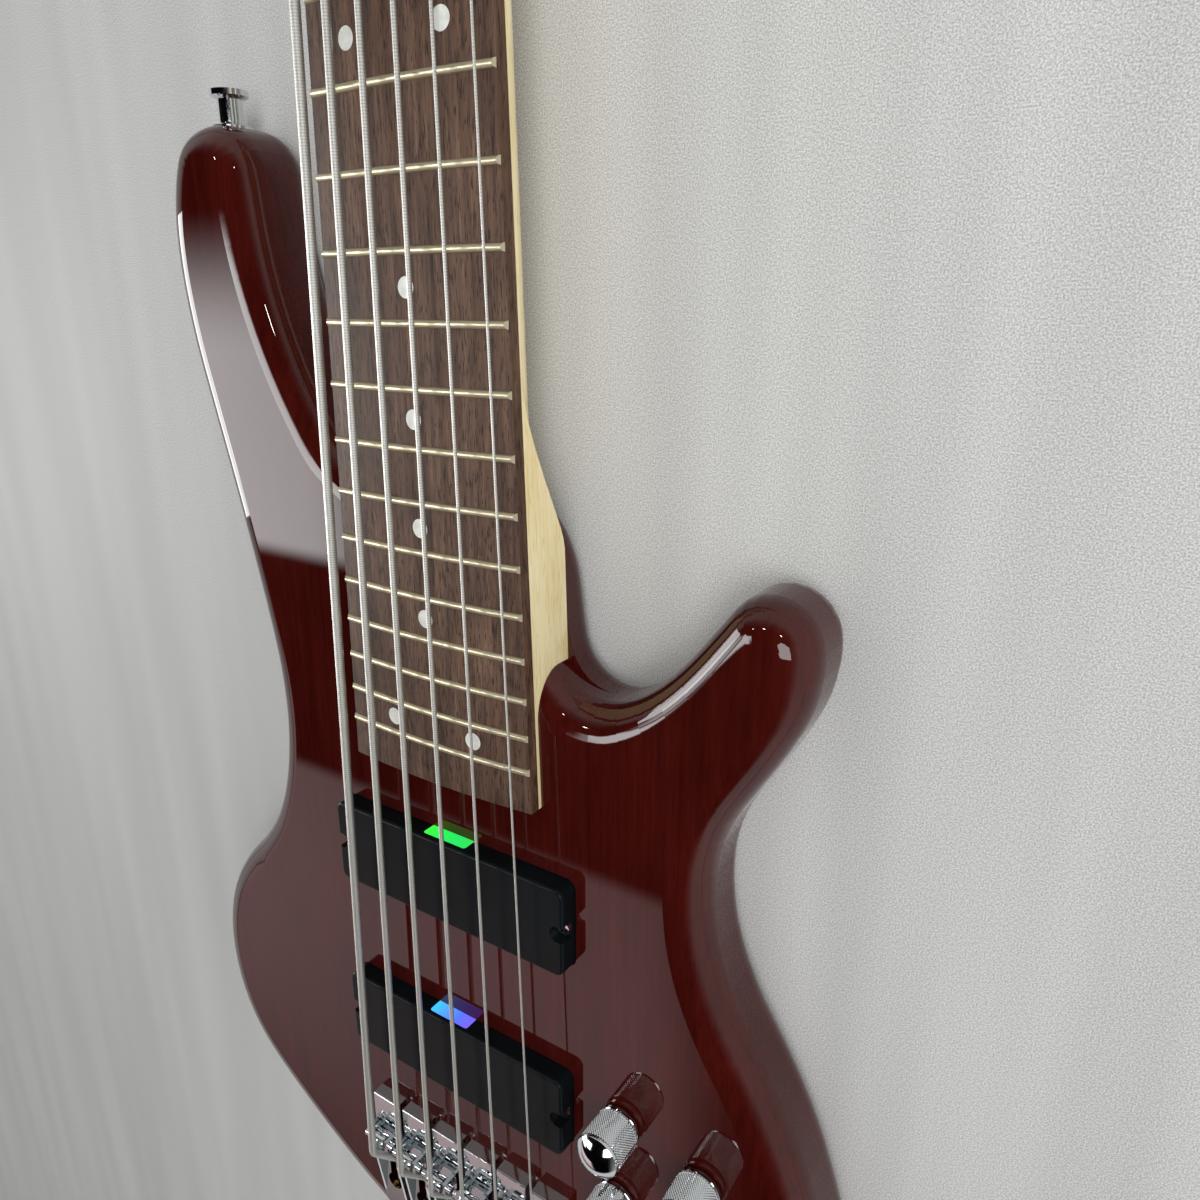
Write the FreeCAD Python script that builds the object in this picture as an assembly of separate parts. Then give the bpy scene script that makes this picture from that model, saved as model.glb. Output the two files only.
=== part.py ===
import FreeCAD, Part
import math
import os

# A six-string, 24-fret electric bass guitar lying on its back. Millimetres.
# +X runs to the treble side, +Y along the neck to the headstock, +Z out of the body's front.
# The origin lies on the flat back, on the centreline, under the nominal saddle line.

V = FreeCAD.Vector
UP = V(0, 0, 1)
ALONG = V(0, 1, 0)
ACROSS = V(1, 0, 0)

# Clearances and the overrun that cuts share
fit_gap = 0.15
run_gap = 0.05
cut_over = 6.0

# Strings, from the bass side to the treble side
scale_length = 863.6
string_names = ["string_low_b", "string_e", "string_a", "string_d", "string_g", "string_high_c"]
string_diameters = [3.30, 2.67, 2.16, 1.65, 1.14, 0.81]
nut_spread = 46.2
saddle_spread = 91.0
nut_lift = 1.7
saddle_lift = 15.0
saddle_camber_radius = 800.0
string_gap = 0.12
nut_bend_radius = 25.0
nut_bend_setback = 3.2
wrap_turns = 2
wrap_spacing = 0.55
wrap_rise = 1.2
wrap_gap = 0.3

# Body
body_thickness = 36.0
body_width = 328.0
body_length = 513.0
tail_reach = 81.0
front_round_share = 0.0396
back_round_share = 0.0305
pocket_depth = 19.0
wire_hole_radius = 4.0
# Shares of the width from the centreline, and of the length from the tail
side_shares = [
    (0.189, 0.628), (0.235, 0.640), (0.280, 0.667), (0.324, 0.704), (0.341, 0.716), (0.367, 0.721),
    (0.393, 0.716), (0.410, 0.704), (0.416, 0.676), (0.372, 0.606), (0.329, 0.552), (0.322, 0.503),
    (0.345, 0.441), (0.415, 0.361), (0.470, 0.273), (0.494, 0.185), (0.457, 0.099),
    (0.351, 0.037), (0.183, 0.004), (0.030, 0.001), (-0.186, 0.041), (-0.375, 0.115),
    (-0.463, 0.168), (-0.505, 0.251), (-0.462, 0.355), (-0.369, 0.424), (-0.314, 0.511),
    (-0.308, 0.571), (-0.329, 0.655), (-0.370, 0.764), (-0.412, 0.889), (-0.402, 0.965),
    (-0.376, 0.992), (-0.339, 1.000), (-0.300, 0.995), (-0.277, 0.981), (-0.267, 0.955), (-0.260, 0.920),
    (-0.244, 0.879), (-0.178, 0.793), (-0.152, 0.775),
]
tongue_shares = [
    (-0.110, 0.767), (0.000, 0.762), (0.076, 0.749), (0.113, 0.719), (0.128, 0.673), (0.146, 0.639),
]
shoulder_shares = [(-0.110, 0.758), (0.030, 0.704), (0.122, 0.649), (0.152, 0.633)]
treble_tangent_shares = (1.0, 0.05)
bass_tangent_shares = (0.87, -0.5)

# Fingerboard and frets
fret_count = 24
fret_overhang = 15.9
nut_width = 54.0
board_end_width = 86.0
board_thickness = 6.5
board_radius = 400.0
fret_width = 2.6
fret_height = 1.2
fret_end_slope = 0.6
tang_width = 0.6
tang_depth = 1.8
dot_radius = 3.3
dot_depth = 1.5
dot_pair_offset = 19.0
single_dot_frets = [3, 5, 7, 9, 15, 17, 19, 21]
double_dot_frets = [12, 24]
side_dot_radius = 1.0
side_dot_depth = 1.5
side_dot_drop = 2.4
side_dot_pair_offset = 4.0

# Neck, heel and headstock
neck_rise = 1.4
neck_depth_at_nut = 14.5
neck_depth_at_heel = 19.0
heel_length = 84.0
carve_length = 63.0
carve_shares = [(0.0, 0.0), (0.19, 0.07), (0.32, 0.245), (0.49, 0.485), (0.76, 0.82), (1.0, 1.0)]
nut_thickness = 5.0
nut_slot_share = 0.5
nut_shelf = 3.0
ramp_length = 16.0
volute_length = 30.0
head_drop = 5.4
head_thickness = 14.0
head_width = 98.0
head_length = 178.0
head_shares = [
    (0.170, 0.000), (0.285, 0.060), (0.400, 0.130), (0.500, 0.260), (0.490, 0.560),
    (0.450, 0.830), (0.300, 0.965), (0.000, 1.000),
]

# Truss rod, its nut and its cover
rod_radius = 2.8
rod_drop = 9.5
rod_bar_height = 4.5
rod_start_gap = 30.0
rod_slot_end_gap = 5.0
rod_stub_radius = 2.0
rod_stub_length = 8.0
rod_nut_radius = 3.8
rod_nut_length = 10.0
rod_nut_key_radius = 1.6
rod_nut_key_depth = 5.0
truss_pocket_width = 12.0
truss_pocket_start = 25.0
truss_pocket_length = 26.0
truss_pocket_play = 0.6
cover_plate_width = 26.0
cover_plate_length = 42.0
cover_plate_thickness = 1.8
cover_plate_corner = 5.0
cover_plate_inset = 4.5

# Cross recess, as shares of a screw head's radius and height
cross_reach_share = 0.62
cross_width_share = 0.3
cross_depth_share = 0.6

# Small wood screws: tuners, truss-rod cover and control cover
small_head_radius = 2.2
small_head_height = 1.2
small_shank_radius = 1.2
small_shank_length = 8.0

# Tuners
tuner_first = 48.0
tuner_pitch = 46.0
post_offset = 33.0
post_radius = 5.0
post_reach = 17.5
post_lower_radius = 3.0
post_foot_radius = 2.4
post_slot_depth = 6.0
bushing_radius = 6.5
bushing_flange_radius = 9.0
bushing_flange = 2.0
bushing_end_gap = 2.0
wheel_teeth = 16
worm_pitch = 2.4
worm_pitch_radius = 2.9
tooth_reach = 0.45
tooth_root = 0.75
tooth_thickness = 0.75
tooth_taper = 0.25
worm_length = 9.6
wheel_thickness = 6.0
wheel_floor_gap = 0.5
housing_depth = 12.0
housing_floor = 2.5
housing_wall = 1.8
housing_room = 0.5
housing_corner = 2.5
ear_length = 6.0
ear_thickness = 2.0
key_collar_radius = 3.7
key_overhang = 4.0
button_length = 19.0
button_height = 20.0
button_thickness = 8.0
button_round = 3.0

# Bridge units, one to a string
unit_width = 15.2
unit_front = 22.6
unit_tail = 45.0
unit_floor = 4.0
unit_wall = 1.3
unit_wall_height = 8.0
unit_wall_straight = 12.0
unit_wall_end = 38.0
unit_block_height = 5.5
unit_block_rear = 8.5
unit_block_lean = 0.4
unit_edge_round = 0.6
unit_tail_round = 5.0
saddle_side_gap = 0.3
saddle_travel = 1.5
saddle_lift_gap = 0.3
saddle_front = 2.6
saddle_rear = 7.0
saddle_floor = 2.4
saddle_cheek = 2.0
saddle_cheek_rise = 1.8
roller_radius = 3.0
roller_groove = 0.5
roller_end_gap = 0.2
axle_radius = 1.1
axle_end_radius = 1.6
axle_end_length = 2.4
keyhole_front = 8.0
keyhole_width = 4.6
keyhole_radius = 4.2
keyhole_setback = 28.5
ball_radius = 3.0
ball_length = 6.0
ball_setback = 22.5
ball_drop = 0.2
ball_pocket_width = 9.0
ball_pocket_front = 15.0
ball_pocket_rear = 33.0
ball_pocket_depth = 6.8
bridge_screw_radius = 1.3
bridge_screw_length = 20.0
bridge_screw_head_radius = 1.9
bridge_screw_head_height = 2.0
bridge_screw_front = 11.6
bridge_screw_offset = 2.2
bridge_screw_play = 0.15

# Pickups
pickup_length = 114.0
pickup_width = 36.0
pickup_proud = 7.8
pickup_height = 21.0
pickup_wall = 2.0
pickup_corner = 3.5
pickup_edge = 1.2
pickup_play = 0.5
pickup_travel = 2.0
neck_pickup_gap = 25.5
bridge_pickup_middle = 71.3
bridge_pickup_shift = -1.4
pickup_notch_radius = 3.2
pickup_notch_depth = 5.6
pickup_notch_inset = 2.4
pickup_ear_inset = 10.0
pickup_screw_head_radius = 2.6
pickup_screw_head_height = 1.7
pickup_screw_radius = 1.4
pickup_screw_length = 30.0
pickup_cavity_depth = 20.0
coil_wall = 5.0
coil_height = 11.0
coil_play = 0.4
magnet_width = 6.0

# Controls: shares of the body's width from the centreline, and lengths from the saddle line
knob_names = ["neck_volume_knob", "bridge_volume_knob", "neck_tone_knob", "bridge_tone_knob"]
knob_column_share = 0.2366
knob_step_share = 0.1032
knob_row = 77.2
knob_row_step = 37.6
knob_skew_across = 1.3
knob_skew_along = 8.7
knob_radius = 8.8
knob_ring_radius = 8.3
knob_groove_radius = 7.6
knob_gap = 0.6
knob_ring_height = 1.7
knob_groove_height = 0.5
knob_barrel_height = 14.2
knob_dome_height = 4.0
knob_hollow_radius = 6.6
knob_hollow_height = 6.0
knob_shaft_depth = 14.0
pot_radius = 8.0
pot_height = 9.0
pot_bush_radius = 3.5
pot_bush_reach = 4.5
pot_shaft_radius = 3.0
pot_floor = 2.0
pot_nut_radius = 5.6
pot_nut_height = 2.4
cavity_left_share = 0.183
cavity_right_share = 0.375
cavity_tail = 8.0
cavity_head = 100.0
cavity_roof = 6.0
cavity_corner = 9.0
control_cover_lip = 5.0
control_cover_thickness = 2.5
control_cover_corner = 13.0
control_cover_screw_inset = 2.8

# Output jack in the treble edge
jack_along = 14.0
jack_height = 18.0
jack_bore_radius = 3.2
jack_radius = 5.5
jack_bore_length = 34.0
jack_length = 46.0
jack_seat_radius = 9.0
jack_seat_depth = 1.6
jack_proud = 4.0
jack_nut_radius = 7.5
jack_nut_height = 2.6

# Neck plate, neck screws and strap buttons
plate_length = 66.0
plate_width = 52.0
plate_thickness = 2.0
plate_corner = 5.0
plate_start = 12.0
plate_screw_inset = 8.0
neck_screw_radius = 2.4
neck_screw_length = 33.0
neck_screw_head_radius = 4.6
strap_base_radius = 7.5
strap_waist_radius = 4.6
strap_head_radius = 7.0
strap_base_height = 2.5
strap_waist_height = 8.0
strap_head_height = 3.0
strap_seat_depth = 1.2
strap_screw_radius = 2.0
strap_screw_length = 30.0
strap_screw_head_radius = 3.6
strap_screw_head_height = 2.0
strap_horn_share = -0.336

# Heights and lines that follow from the sizes
front_round = front_round_share * body_width
back_round = back_round_share * body_width
knob_column = knob_column_share * body_width
knob_column_step = knob_step_share * body_width
cavity_left = cavity_left_share * body_width
cavity_right = cavity_right_share * body_width
neck_top = body_thickness + neck_rise
pocket_floor = body_thickness - pocket_depth
board_top = neck_top + board_thickness
camber_axis = V(0, 0, board_top - board_radius)
board_end = scale_length / 2 ** (fret_count / 12) - fret_overhang
nut_line = scale_length
carve_start = board_end + heel_length
carve_end = carve_start + carve_length
head_top = neck_top - head_drop
head_bottom = head_top - head_thickness
head_end = nut_line + head_length
shelf_end = nut_line + nut_thickness + nut_shelf
ramp_end = shelf_end + ramp_length
string_count = len(string_names)
wheel_radius = wheel_teeth * worm_pitch / (2 * math.pi)
worm_offset = wheel_radius + worm_pitch_radius
housing_bottom = head_bottom - housing_depth
wheel_bottom = housing_bottom + housing_floor + wheel_floor_gap
worm_height = wheel_bottom + wheel_thickness / 2
unit_top = body_thickness + unit_floor


# Basic shapes

def block(x0, x1, y0, y1, z0, z1):
    return Part.makeBox(x1 - x0, y1 - y0, z1 - z0, V(x0, y0, z0))


def round_bar(radius, start, end):
    run = end - start
    return Part.makeCylinder(radius, run.Length, start, run)


def upright_corners(shape):
    edges = []
    for edge in shape.Edges:
        direction = edge.tangentAt(edge.FirstParameter)
        if abs(direction.z) > abs(direction.x) + abs(direction.y):
            edges.append(edge)
    return edges


def round_block(x0, x1, y0, y1, z0, z1, corner):
    shape = block(x0, x1, y0, y1, z0, z1)
    return shape.makeFillet(corner, upright_corners(shape))


def edges_at_height(shape, height):
    return [e for e in shape.Edges if abs(e.BoundBox.ZMin - height) + abs(e.BoundBox.ZMax - height) < run_gap]


def turned(profile, base, axis):
    points = [V(radius, 0, height) for radius, height in profile]
    face = Part.Face(Part.makePolygon(points + points[:1]))
    return placed(face.revolve(V(0, 0, 0), UP, 360), base, axis)


def placed(shape, base, axis):
    shape.Placement = FreeCAD.Placement(base, FreeCAD.Rotation(UP, axis))
    return shape


def plate_from(points, z0, z1):
    face = Part.Face(Part.makePolygon(points + points[:1]))
    face.translate(V(0, 0, z0))
    return face.extrude(V(0, 0, z1 - z0))


def across_slab(outline, half_width):
    face = Part.Face(Part.Wire(outline))
    face.translate(V(-half_width, 0, 0))
    return face.extrude(V(2 * half_width, 0, 0))


def polyline_edges(points):
    return [Part.LineSegment(a, b).toShape() for a, b in zip(points, points[1:])]


def smooth_edge(points):
    curve = Part.BSplineCurve()
    curve.interpolate(Points=points)
    return curve.toShape()


def smooth_arcs(points, start, end):
    # Tangent arcs, two to each step between points
    curve = Part.BSplineCurve()
    curve.interpolate(
        Points=points, InitialTangent=start.normalize(), FinalTangent=end.normalize(), Scale=False)
    ways = [curve.tangent(curve.parameter(point))[0] for point in points]
    edges = []
    for k in range(len(points) - 1):
        edges += biarc_edges(points[k], ways[k], points[k + 1], ways[k + 1])
    return edges


def arc_edge(start, corner, end):
    # The arc tangent to start-corner at start and to corner-end at end
    middle = (start + end) * (1 / 2)
    half_chord = (end - start).Length / 2
    turn = math.atan2((corner - middle).Length, half_chord)
    crest = middle + (corner - middle) * (math.tan(turn / 2) / math.tan(turn))
    return Part.Arc(start, crest, end).toShape()


def biarc_edges(start, start_way, end, end_way):
    chord = end - start
    a = 2 * (start_way.dot(end_way) - 1)
    b = -2 * chord.dot(start_way + end_way)
    c = chord.dot(chord)
    reach = 2 * c / (math.sqrt(b * b - 4 * a * c) - b)
    first = start + start_way * reach
    second = end - end_way * reach
    joint = (first + second) * (1 / 2)
    return [arc_edge(start, first, joint), arc_edge(joint, second, end)]


def hexagon(radius, z0, z1, base, axis):
    points = [V(radius * math.cos(k * math.pi / 3), radius * math.sin(k * math.pi / 3), 0) for k in range(6)]
    return placed(plate_from(points, z0, z1), base, axis)


def cross_recess(head_radius, z0, z1):
    reach = head_radius * cross_reach_share
    half = head_radius * cross_width_share / 2
    return [block(-reach, reach, -half, half, z0, z1), block(-half, half, -reach, reach, z0, z1)]


def pan_screw(base, axis, head_radius, head_height, shank_radius, shank_length):
    profile = [
        (0, -head_height), (head_radius, -head_height), (head_radius, 0),
        (shank_radius, 0), (shank_radius, shank_length), (0, shank_length),
    ]
    depth = head_height * cross_depth_share
    recess = cross_recess(head_radius, -head_height - cut_over, depth - head_height)
    return placed(turned(profile, V(0, 0, 0), UP).cut(recess), base, axis)


def small_screw(base, axis):
    return pan_screw(base, axis, small_head_radius, small_head_height, small_shank_radius, small_shank_length)


def small_pilot(base, axis):
    tip = base + axis * (small_shank_length + fit_gap)
    return round_bar(small_shank_radius + run_gap, base - axis * run_gap, tip)


# Lines that several pieces share

def half_width(y):
    taper = (board_end_width - nut_width) / (nut_line - board_end)
    return (nut_width + taper * (nut_line - y)) / 2


def fret_line(number):
    return scale_length / 2 ** (number / 12)


def board_height(x):
    return board_top - board_radius + math.sqrt(board_radius ** 2 - x ** 2)


def string_share(index):
    return index / (string_count - 1) - 1 / 2


def string_at_nut(index):
    x = nut_spread * string_share(index)
    return V(x, nut_line, board_height(x) + nut_lift + string_diameters[index] / 2)


def string_at_saddle(index):
    x = saddle_spread * string_share(index)
    sag = saddle_camber_radius - math.sqrt(saddle_camber_radius ** 2 - x ** 2)
    return V(x, 0, body_thickness + saddle_lift - sag + string_diameters[index] / 2)


def body_point(shares):
    return V(body_width * shares[0], body_length * shares[1] - tail_reach, 0)


def marker_line(number):
    return (fret_line(number) + fret_line(number - 1)) / 2


def tuner_places():
    places = []
    half = string_count // 2
    for index in range(string_count):
        side = -1 if index < half else 1
        step = index if index < half else string_count - 1 - index
        places.append((side, V(side * post_offset, nut_line + tuner_first + step * tuner_pitch, 0)))
    return places


def knob_places():
    places = []
    for column in range(2):
        for row in range(2):
            x = knob_column + column * knob_column_step - row * knob_skew_across
            y = knob_row - row * knob_row_step - column * knob_skew_along
            places.append(V(x, y, 0))
    return places


def pickup_places():
    neck_middle = board_end - neck_pickup_gap - pickup_width / 2
    return {
        "neck_pickup": V(0, neck_middle, 0),
        "bridge_pickup": V(bridge_pickup_shift, bridge_pickup_middle, 0),
    }


# Body

def body_slab(closing_shares, z0, z1):
    side = [body_point(s) for s in side_shares]
    closing = [side[-1]] + [body_point(s) for s in closing_shares] + [side[0]]
    treble = V(treble_tangent_shares[0], treble_tangent_shares[1], 0)
    bass = V(bass_tangent_shares[0], bass_tangent_shares[1], 0)
    face = Part.Face(Part.Wire(smooth_arcs(side, treble, bass) + smooth_arcs(closing, bass, treble)))
    face.translate(V(0, 0, z0))
    return face.extrude(V(0, 0, z1 - z0))


def outline_reach(direction, line):
    # Where the outer outline crosses a line square to the edge, as at the jack and the strap buttons
    slab = body_slab(tongue_shares, 0, pocket_floor)
    start = V(line.x, line.y, pocket_floor / 2)
    ray = Part.LineSegment(start, start + direction * (body_width + body_length)).toShape()
    inside = slab.common(ray)
    return max(vertex.Point.dot(direction) for vertex in inside.Vertexes)


def neck_pocket():
    start = board_end - fit_gap
    end = body_length
    near = half_width(start) + fit_gap
    far = half_width(end) + fit_gap
    points = [V(-near, start, 0), V(near, start, 0), V(far, end, 0), V(-far, end, 0)]
    return plate_from(points, pocket_floor, body_thickness + cut_over)


def pickup_cavity(middle):
    half_x = pickup_length / 2 + pickup_play
    half_y = pickup_width / 2 + pickup_play
    floor = body_thickness - pickup_cavity_depth
    return round_block(
        middle.x - half_x, middle.x + half_x, middle.y - half_y, middle.y + half_y,
        floor, body_thickness + cut_over, pickup_corner + pickup_play)


def control_cavity():
    room = round_block(
        cavity_left, cavity_right, cavity_tail, cavity_head,
        -cut_over, body_thickness - cavity_roof, cavity_corner)
    lip = control_cover_lip + fit_gap
    rebate = round_block(
        cavity_left - lip, cavity_right + lip, cavity_tail - lip, cavity_head + lip,
        -cut_over, control_cover_thickness, control_cover_corner + fit_gap)
    return room.fuse(rebate)


def control_screw_places():
    inset = control_cover_screw_inset
    left = cavity_left - inset
    right = cavity_right + inset
    low = cavity_tail + (cavity_head - cavity_tail) / 4
    high = cavity_head - (cavity_head - cavity_tail) / 4
    middle = (cavity_left + cavity_right) / 2
    return [
        V(left, low, 0), V(left, high, 0), V(right, low, 0), V(right, high, 0),
        V(middle, cavity_head + inset, 0), V(middle, cavity_tail - inset, 0),
    ]


def jack_face():
    return outline_reach(ACROSS, V(0, jack_along, 0)) - jack_seat_depth


def strap_seats():
    horn_x = body_width * strap_horn_share
    tail = outline_reach(-ALONG, V(0, 0, 0)) - strap_seat_depth
    horn = outline_reach(ALONG, V(horn_x, 0, 0)) - strap_seat_depth
    middle = body_thickness / 2
    return [(V(0, -tail, middle), -ALONG), (V(horn_x, horn, middle), ALONG)]


def plate_box():
    start = board_end + plate_start
    return -plate_width / 2, plate_width / 2, start, start + plate_length


def neck_screw_places():
    x0, x1, y0, y1 = plate_box()
    inset = plate_screw_inset
    return [V(x, y, plate_thickness) for x in (x0 + inset, x1 - inset) for y in (y0 + inset, y1 - inset)]


def bridge_screw_seats(index):
    x = saddle_spread * string_share(index)
    return [
        V(x - bridge_screw_offset, bridge_screw_front, unit_top),
        V(x, 0, unit_top - bridge_screw_head_height - run_gap),
    ]


def make_body():
    lower = body_slab(tongue_shares, 0, pocket_floor)
    lower = lower.makeFillet(back_round, edges_at_height(lower, 0))
    upper = body_slab(shoulder_shares, pocket_floor, body_thickness)
    upper = upper.makeFillet(front_round, edges_at_height(upper, body_thickness))
    body = lower.fuse(upper)

    cuts = [neck_pocket(), control_cavity()]
    places = pickup_places()
    for middle in places.values():
        cuts.append(pickup_cavity(middle))
        for screw in pickup_screw_places(middle):
            top = V(screw.x, screw.y, body_thickness - pickup_cavity_depth + cut_over)
            tip = V(screw.x, screw.y, pickup_screw_seat() - pickup_screw_length - pickup_travel - fit_gap)
            cuts.append(round_bar(pickup_screw_radius + run_gap, tip, top))
    neck_side = places["neck_pickup"]
    bridge_side = places["bridge_pickup"]
    wire_height = body_thickness - pickup_cavity_depth / 2
    wire_x = pickup_length / 4
    wire_start = V(wire_x, bridge_side.y, wire_height)
    wire_ends = [V(wire_x, neck_side.y, wire_height), V(cavity_left + cut_over, bridge_side.y, wire_height)]
    cuts += [round_bar(wire_hole_radius, wire_start, wire_end) for wire_end in wire_ends]
    for place in knob_places():
        roof = body_thickness - cavity_roof
        cuts.append(round_bar(
            pot_bush_radius + run_gap, V(place.x, place.y, roof - cut_over),
            V(place.x, place.y, body_thickness + cut_over)))
    face = jack_face()
    cuts.append(round_bar(
        jack_radius + run_gap, V((cavity_left + cavity_right) / 2, jack_along, jack_height),
        V(face + cut_over, jack_along, jack_height)))
    cuts.append(round_bar(
        jack_seat_radius, V(face, jack_along, jack_height), V(face + cut_over, jack_along, jack_height)))
    for seat, axis in strap_seats():
        cuts.append(round_bar(strap_base_radius + fit_gap, seat, seat + axis * cut_over))
        tip = seat - axis * (strap_screw_length + fit_gap)
        cuts.append(round_bar(strap_screw_radius + run_gap, tip, seat + axis * cut_over))
    x0, x1, y0, y1 = plate_box()
    cuts.append(round_block(
        x0 - fit_gap, x1 + fit_gap, y0 - fit_gap, y1 + fit_gap,
        -cut_over, plate_thickness, plate_corner + fit_gap))
    for place in neck_screw_places():
        top = V(place.x, place.y, pocket_floor + cut_over)
        cuts.append(round_bar(neck_screw_radius + run_gap, V(place.x, place.y, 0), top))
    for place in control_screw_places():
        cuts.append(small_pilot(V(place.x, place.y, control_cover_thickness), UP))
    for index in range(string_count):
        x = saddle_spread * string_share(index)
        cuts.append(block(
            x - ball_pocket_width / 2, x + ball_pocket_width / 2, -ball_pocket_rear, -ball_pocket_front,
            body_thickness - ball_pocket_depth, body_thickness + cut_over))
        for seat in bridge_screw_seats(index):
            tip = V(seat.x, seat.y, seat.z - bridge_screw_length - fit_gap)
            cuts.append(round_bar(
                bridge_screw_radius + run_gap, tip, V(seat.x, seat.y, body_thickness + cut_over)))
    return body.cut(cuts)


# Neck, board and their fittings

def neck_section(y, depth):
    half = half_width(y)
    middle = V(0, y, neck_top)
    treble = V(half, y, neck_top)
    bass = V(-half, y, neck_top)
    curve = Part.Ellipse(treble, V(0, y, neck_top - depth), middle)
    under = Part.ArcOfEllipse(curve, 0, math.pi).toShape()
    return Part.Wire([under, Part.LineSegment(bass, treble).toShape()])


def neck_heel():
    rise = neck_top - pocket_floor
    carve = [V(0, carve_start + carve_length * along, pocket_floor + rise * up) for along, up in carve_shares]
    sides = polyline_edges([carve[-1], V(0, board_end, neck_top), V(0, board_end, pocket_floor), carve[0]])
    profile = across_slab([smooth_edge(carve)] + sides, board_end_width)
    near = half_width(board_end)
    far = half_width(carve_end)
    points = [V(-near, board_end, 0), V(near, board_end, 0), V(far, carve_end, 0), V(-far, carve_end, 0)]
    return profile.common(plate_from(points, pocket_floor, neck_top))


def headstock():
    right = [V(head_width * across, nut_line + head_length * along, 0) for across, along in head_shares]
    left = [V(-p.x, p.y, 0) for p in reversed(right[:-1])]
    outline = [smooth_edge(right + left), Part.LineSegment(left[-1], right[0]).toShape()]
    plan = Part.Face(Part.Wire(outline))
    plan.translate(V(0, 0, head_bottom))
    plan = plan.extrude(V(0, 0, neck_top - head_bottom))
    side = [
        V(0, nut_line, neck_top), V(0, shelf_end, neck_top), V(0, ramp_end, head_top),
        V(0, head_end + cut_over, head_top), V(0, head_end + cut_over, head_bottom),
        V(0, nut_line + volute_length, head_bottom), V(0, nut_line, neck_top - neck_depth_at_nut * 3 / 4),
    ]
    return plan.common(across_slab(polyline_edges(side + side[:1]), head_width))


def rod_axis_height():
    return neck_top - rod_drop


def truss_pocket_line():
    return nut_line + truss_pocket_start


def truss_pocket_box(z1):
    start = truss_pocket_line()
    half = truss_pocket_width / 2
    floor = rod_axis_height() - rod_nut_radius - truss_pocket_play
    return block(-half, half, start, start + truss_pocket_length, floor, z1)


def cover_screw_places():
    near = ramp_end + cover_plate_inset
    far = ramp_end + cover_plate_length - cover_plate_inset
    side = cover_plate_width / 2 - cover_plate_inset
    return [V(0, far, head_top), V(-side, near, head_top), V(side, near, head_top)]


def make_neck():
    root = board_end + heel_length / 2
    shaft = Part.makeLoft(
        [neck_section(root, neck_depth_at_heel), neck_section(shelf_end, neck_depth_at_nut)], True, True)
    neck = shaft.fuse([neck_heel(), headstock()])
    slot = rod_radius + run_gap
    axis = rod_axis_height()
    rod_start = board_end + rod_start_gap
    slot_end = nut_line - rod_slot_end_gap
    cuts = [
        block(-slot, slot, rod_start, slot_end, axis, neck_top + cut_over),
        round_bar(slot, V(0, rod_start, axis), V(0, truss_pocket_line() + cut_over, axis)),
        truss_pocket_box(head_top + cut_over),
    ]
    for place in neck_screw_places():
        tip = V(place.x, place.y, place.z + neck_screw_length + fit_gap)
        cuts.append(round_bar(neck_screw_radius + run_gap, V(place.x, place.y, 0), tip))
    for _, post in tuner_places():
        cuts.append(round_bar(
            bushing_radius + run_gap, V(post.x, post.y, head_bottom - cut_over),
            V(post.x, post.y, head_top + cut_over)))
    for place in tuner_screw_places():
        cuts.append(small_pilot(place, UP))
    for place in cover_screw_places():
        cuts.append(small_pilot(V(place.x, place.y, head_top + cover_plate_thickness), -UP))
    return neck.cut(cuts)


def board_blank():
    near = half_width(board_end)
    far = half_width(nut_line)
    points = [V(-near, board_end, 0), V(near, board_end, 0), V(far, nut_line, 0), V(-far, nut_line, 0)]
    blank = plate_from(points, neck_top, board_top)
    return blank.common(camber_bar())


def camber_bar():
    start = V(0, board_end - cut_over, camber_axis.z)
    return round_bar(board_radius, start, V(0, nut_line + cut_over, camber_axis.z))


def fret_ends(y):
    # The room between the slopes that a file leaves on a fret's ends
    half = half_width(y)
    edge = board_height(half)
    lean = fret_end_slope * cut_over
    corners = [
        V(0, -half - lean, edge - cut_over), V(0, half + lean, edge - cut_over),
        V(0, half - lean, edge + cut_over), V(0, lean - half, edge + cut_over),
    ]
    room = across_slab(polyline_edges(corners + corners[:1]), fret_width)
    room.rotate(V(0, 0, 0), UP, 90)
    room.translate(ALONG * y)
    return room


def make_fret(number):
    y = fret_line(number)
    half = fret_width / 2
    tang = tang_width / 2
    corner = [
        V(0, y + half, board_top), V(0, y + tang, board_top), V(0, y + tang, board_top - tang_depth),
        V(0, y - tang, board_top - tang_depth), V(0, y - tang, board_top), V(0, y - half, board_top),
    ]
    crown = Part.Arc(corner[-1], V(0, y, board_top + fret_height), corner[0]).toShape()
    face = Part.Face(Part.Wire(polyline_edges(corner) + [crown]))
    spread = math.degrees(math.asin(half_width(y) / board_radius))
    face.rotate(camber_axis, ALONG, -spread)
    return face.revolve(camber_axis, ALONG, 2 * spread).common(fret_ends(y))


def dot_places():
    places = [V(0, marker_line(n), 0) for n in single_dot_frets]
    for n in double_dot_frets:
        places.append(V(-dot_pair_offset, marker_line(n), 0))
        places.append(V(dot_pair_offset, marker_line(n), 0))
    return places


def make_dots():
    bar = camber_bar()
    dots = []
    for place in dot_places():
        floor = board_height(place.x + dot_radius) - dot_depth
        dot = round_bar(dot_radius, V(place.x, place.y, floor), V(place.x, place.y, board_top + cut_over))
        dots.append(dot.common(bar))
    return dots


def make_side_dots():
    lines = [marker_line(n) for n in single_dot_frets]
    for n in double_dot_frets:
        lines += [marker_line(n) - side_dot_pair_offset, marker_line(n) + side_dot_pair_offset]
    dots = []
    for y in lines:
        edge = half_width(y + side_dot_radius)
        height = board_height(half_width(y)) - side_dot_drop
        dots.append(round_bar(side_dot_radius, V(-edge, y, height), V(side_dot_depth - edge, y, height)))
    return dots


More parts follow.
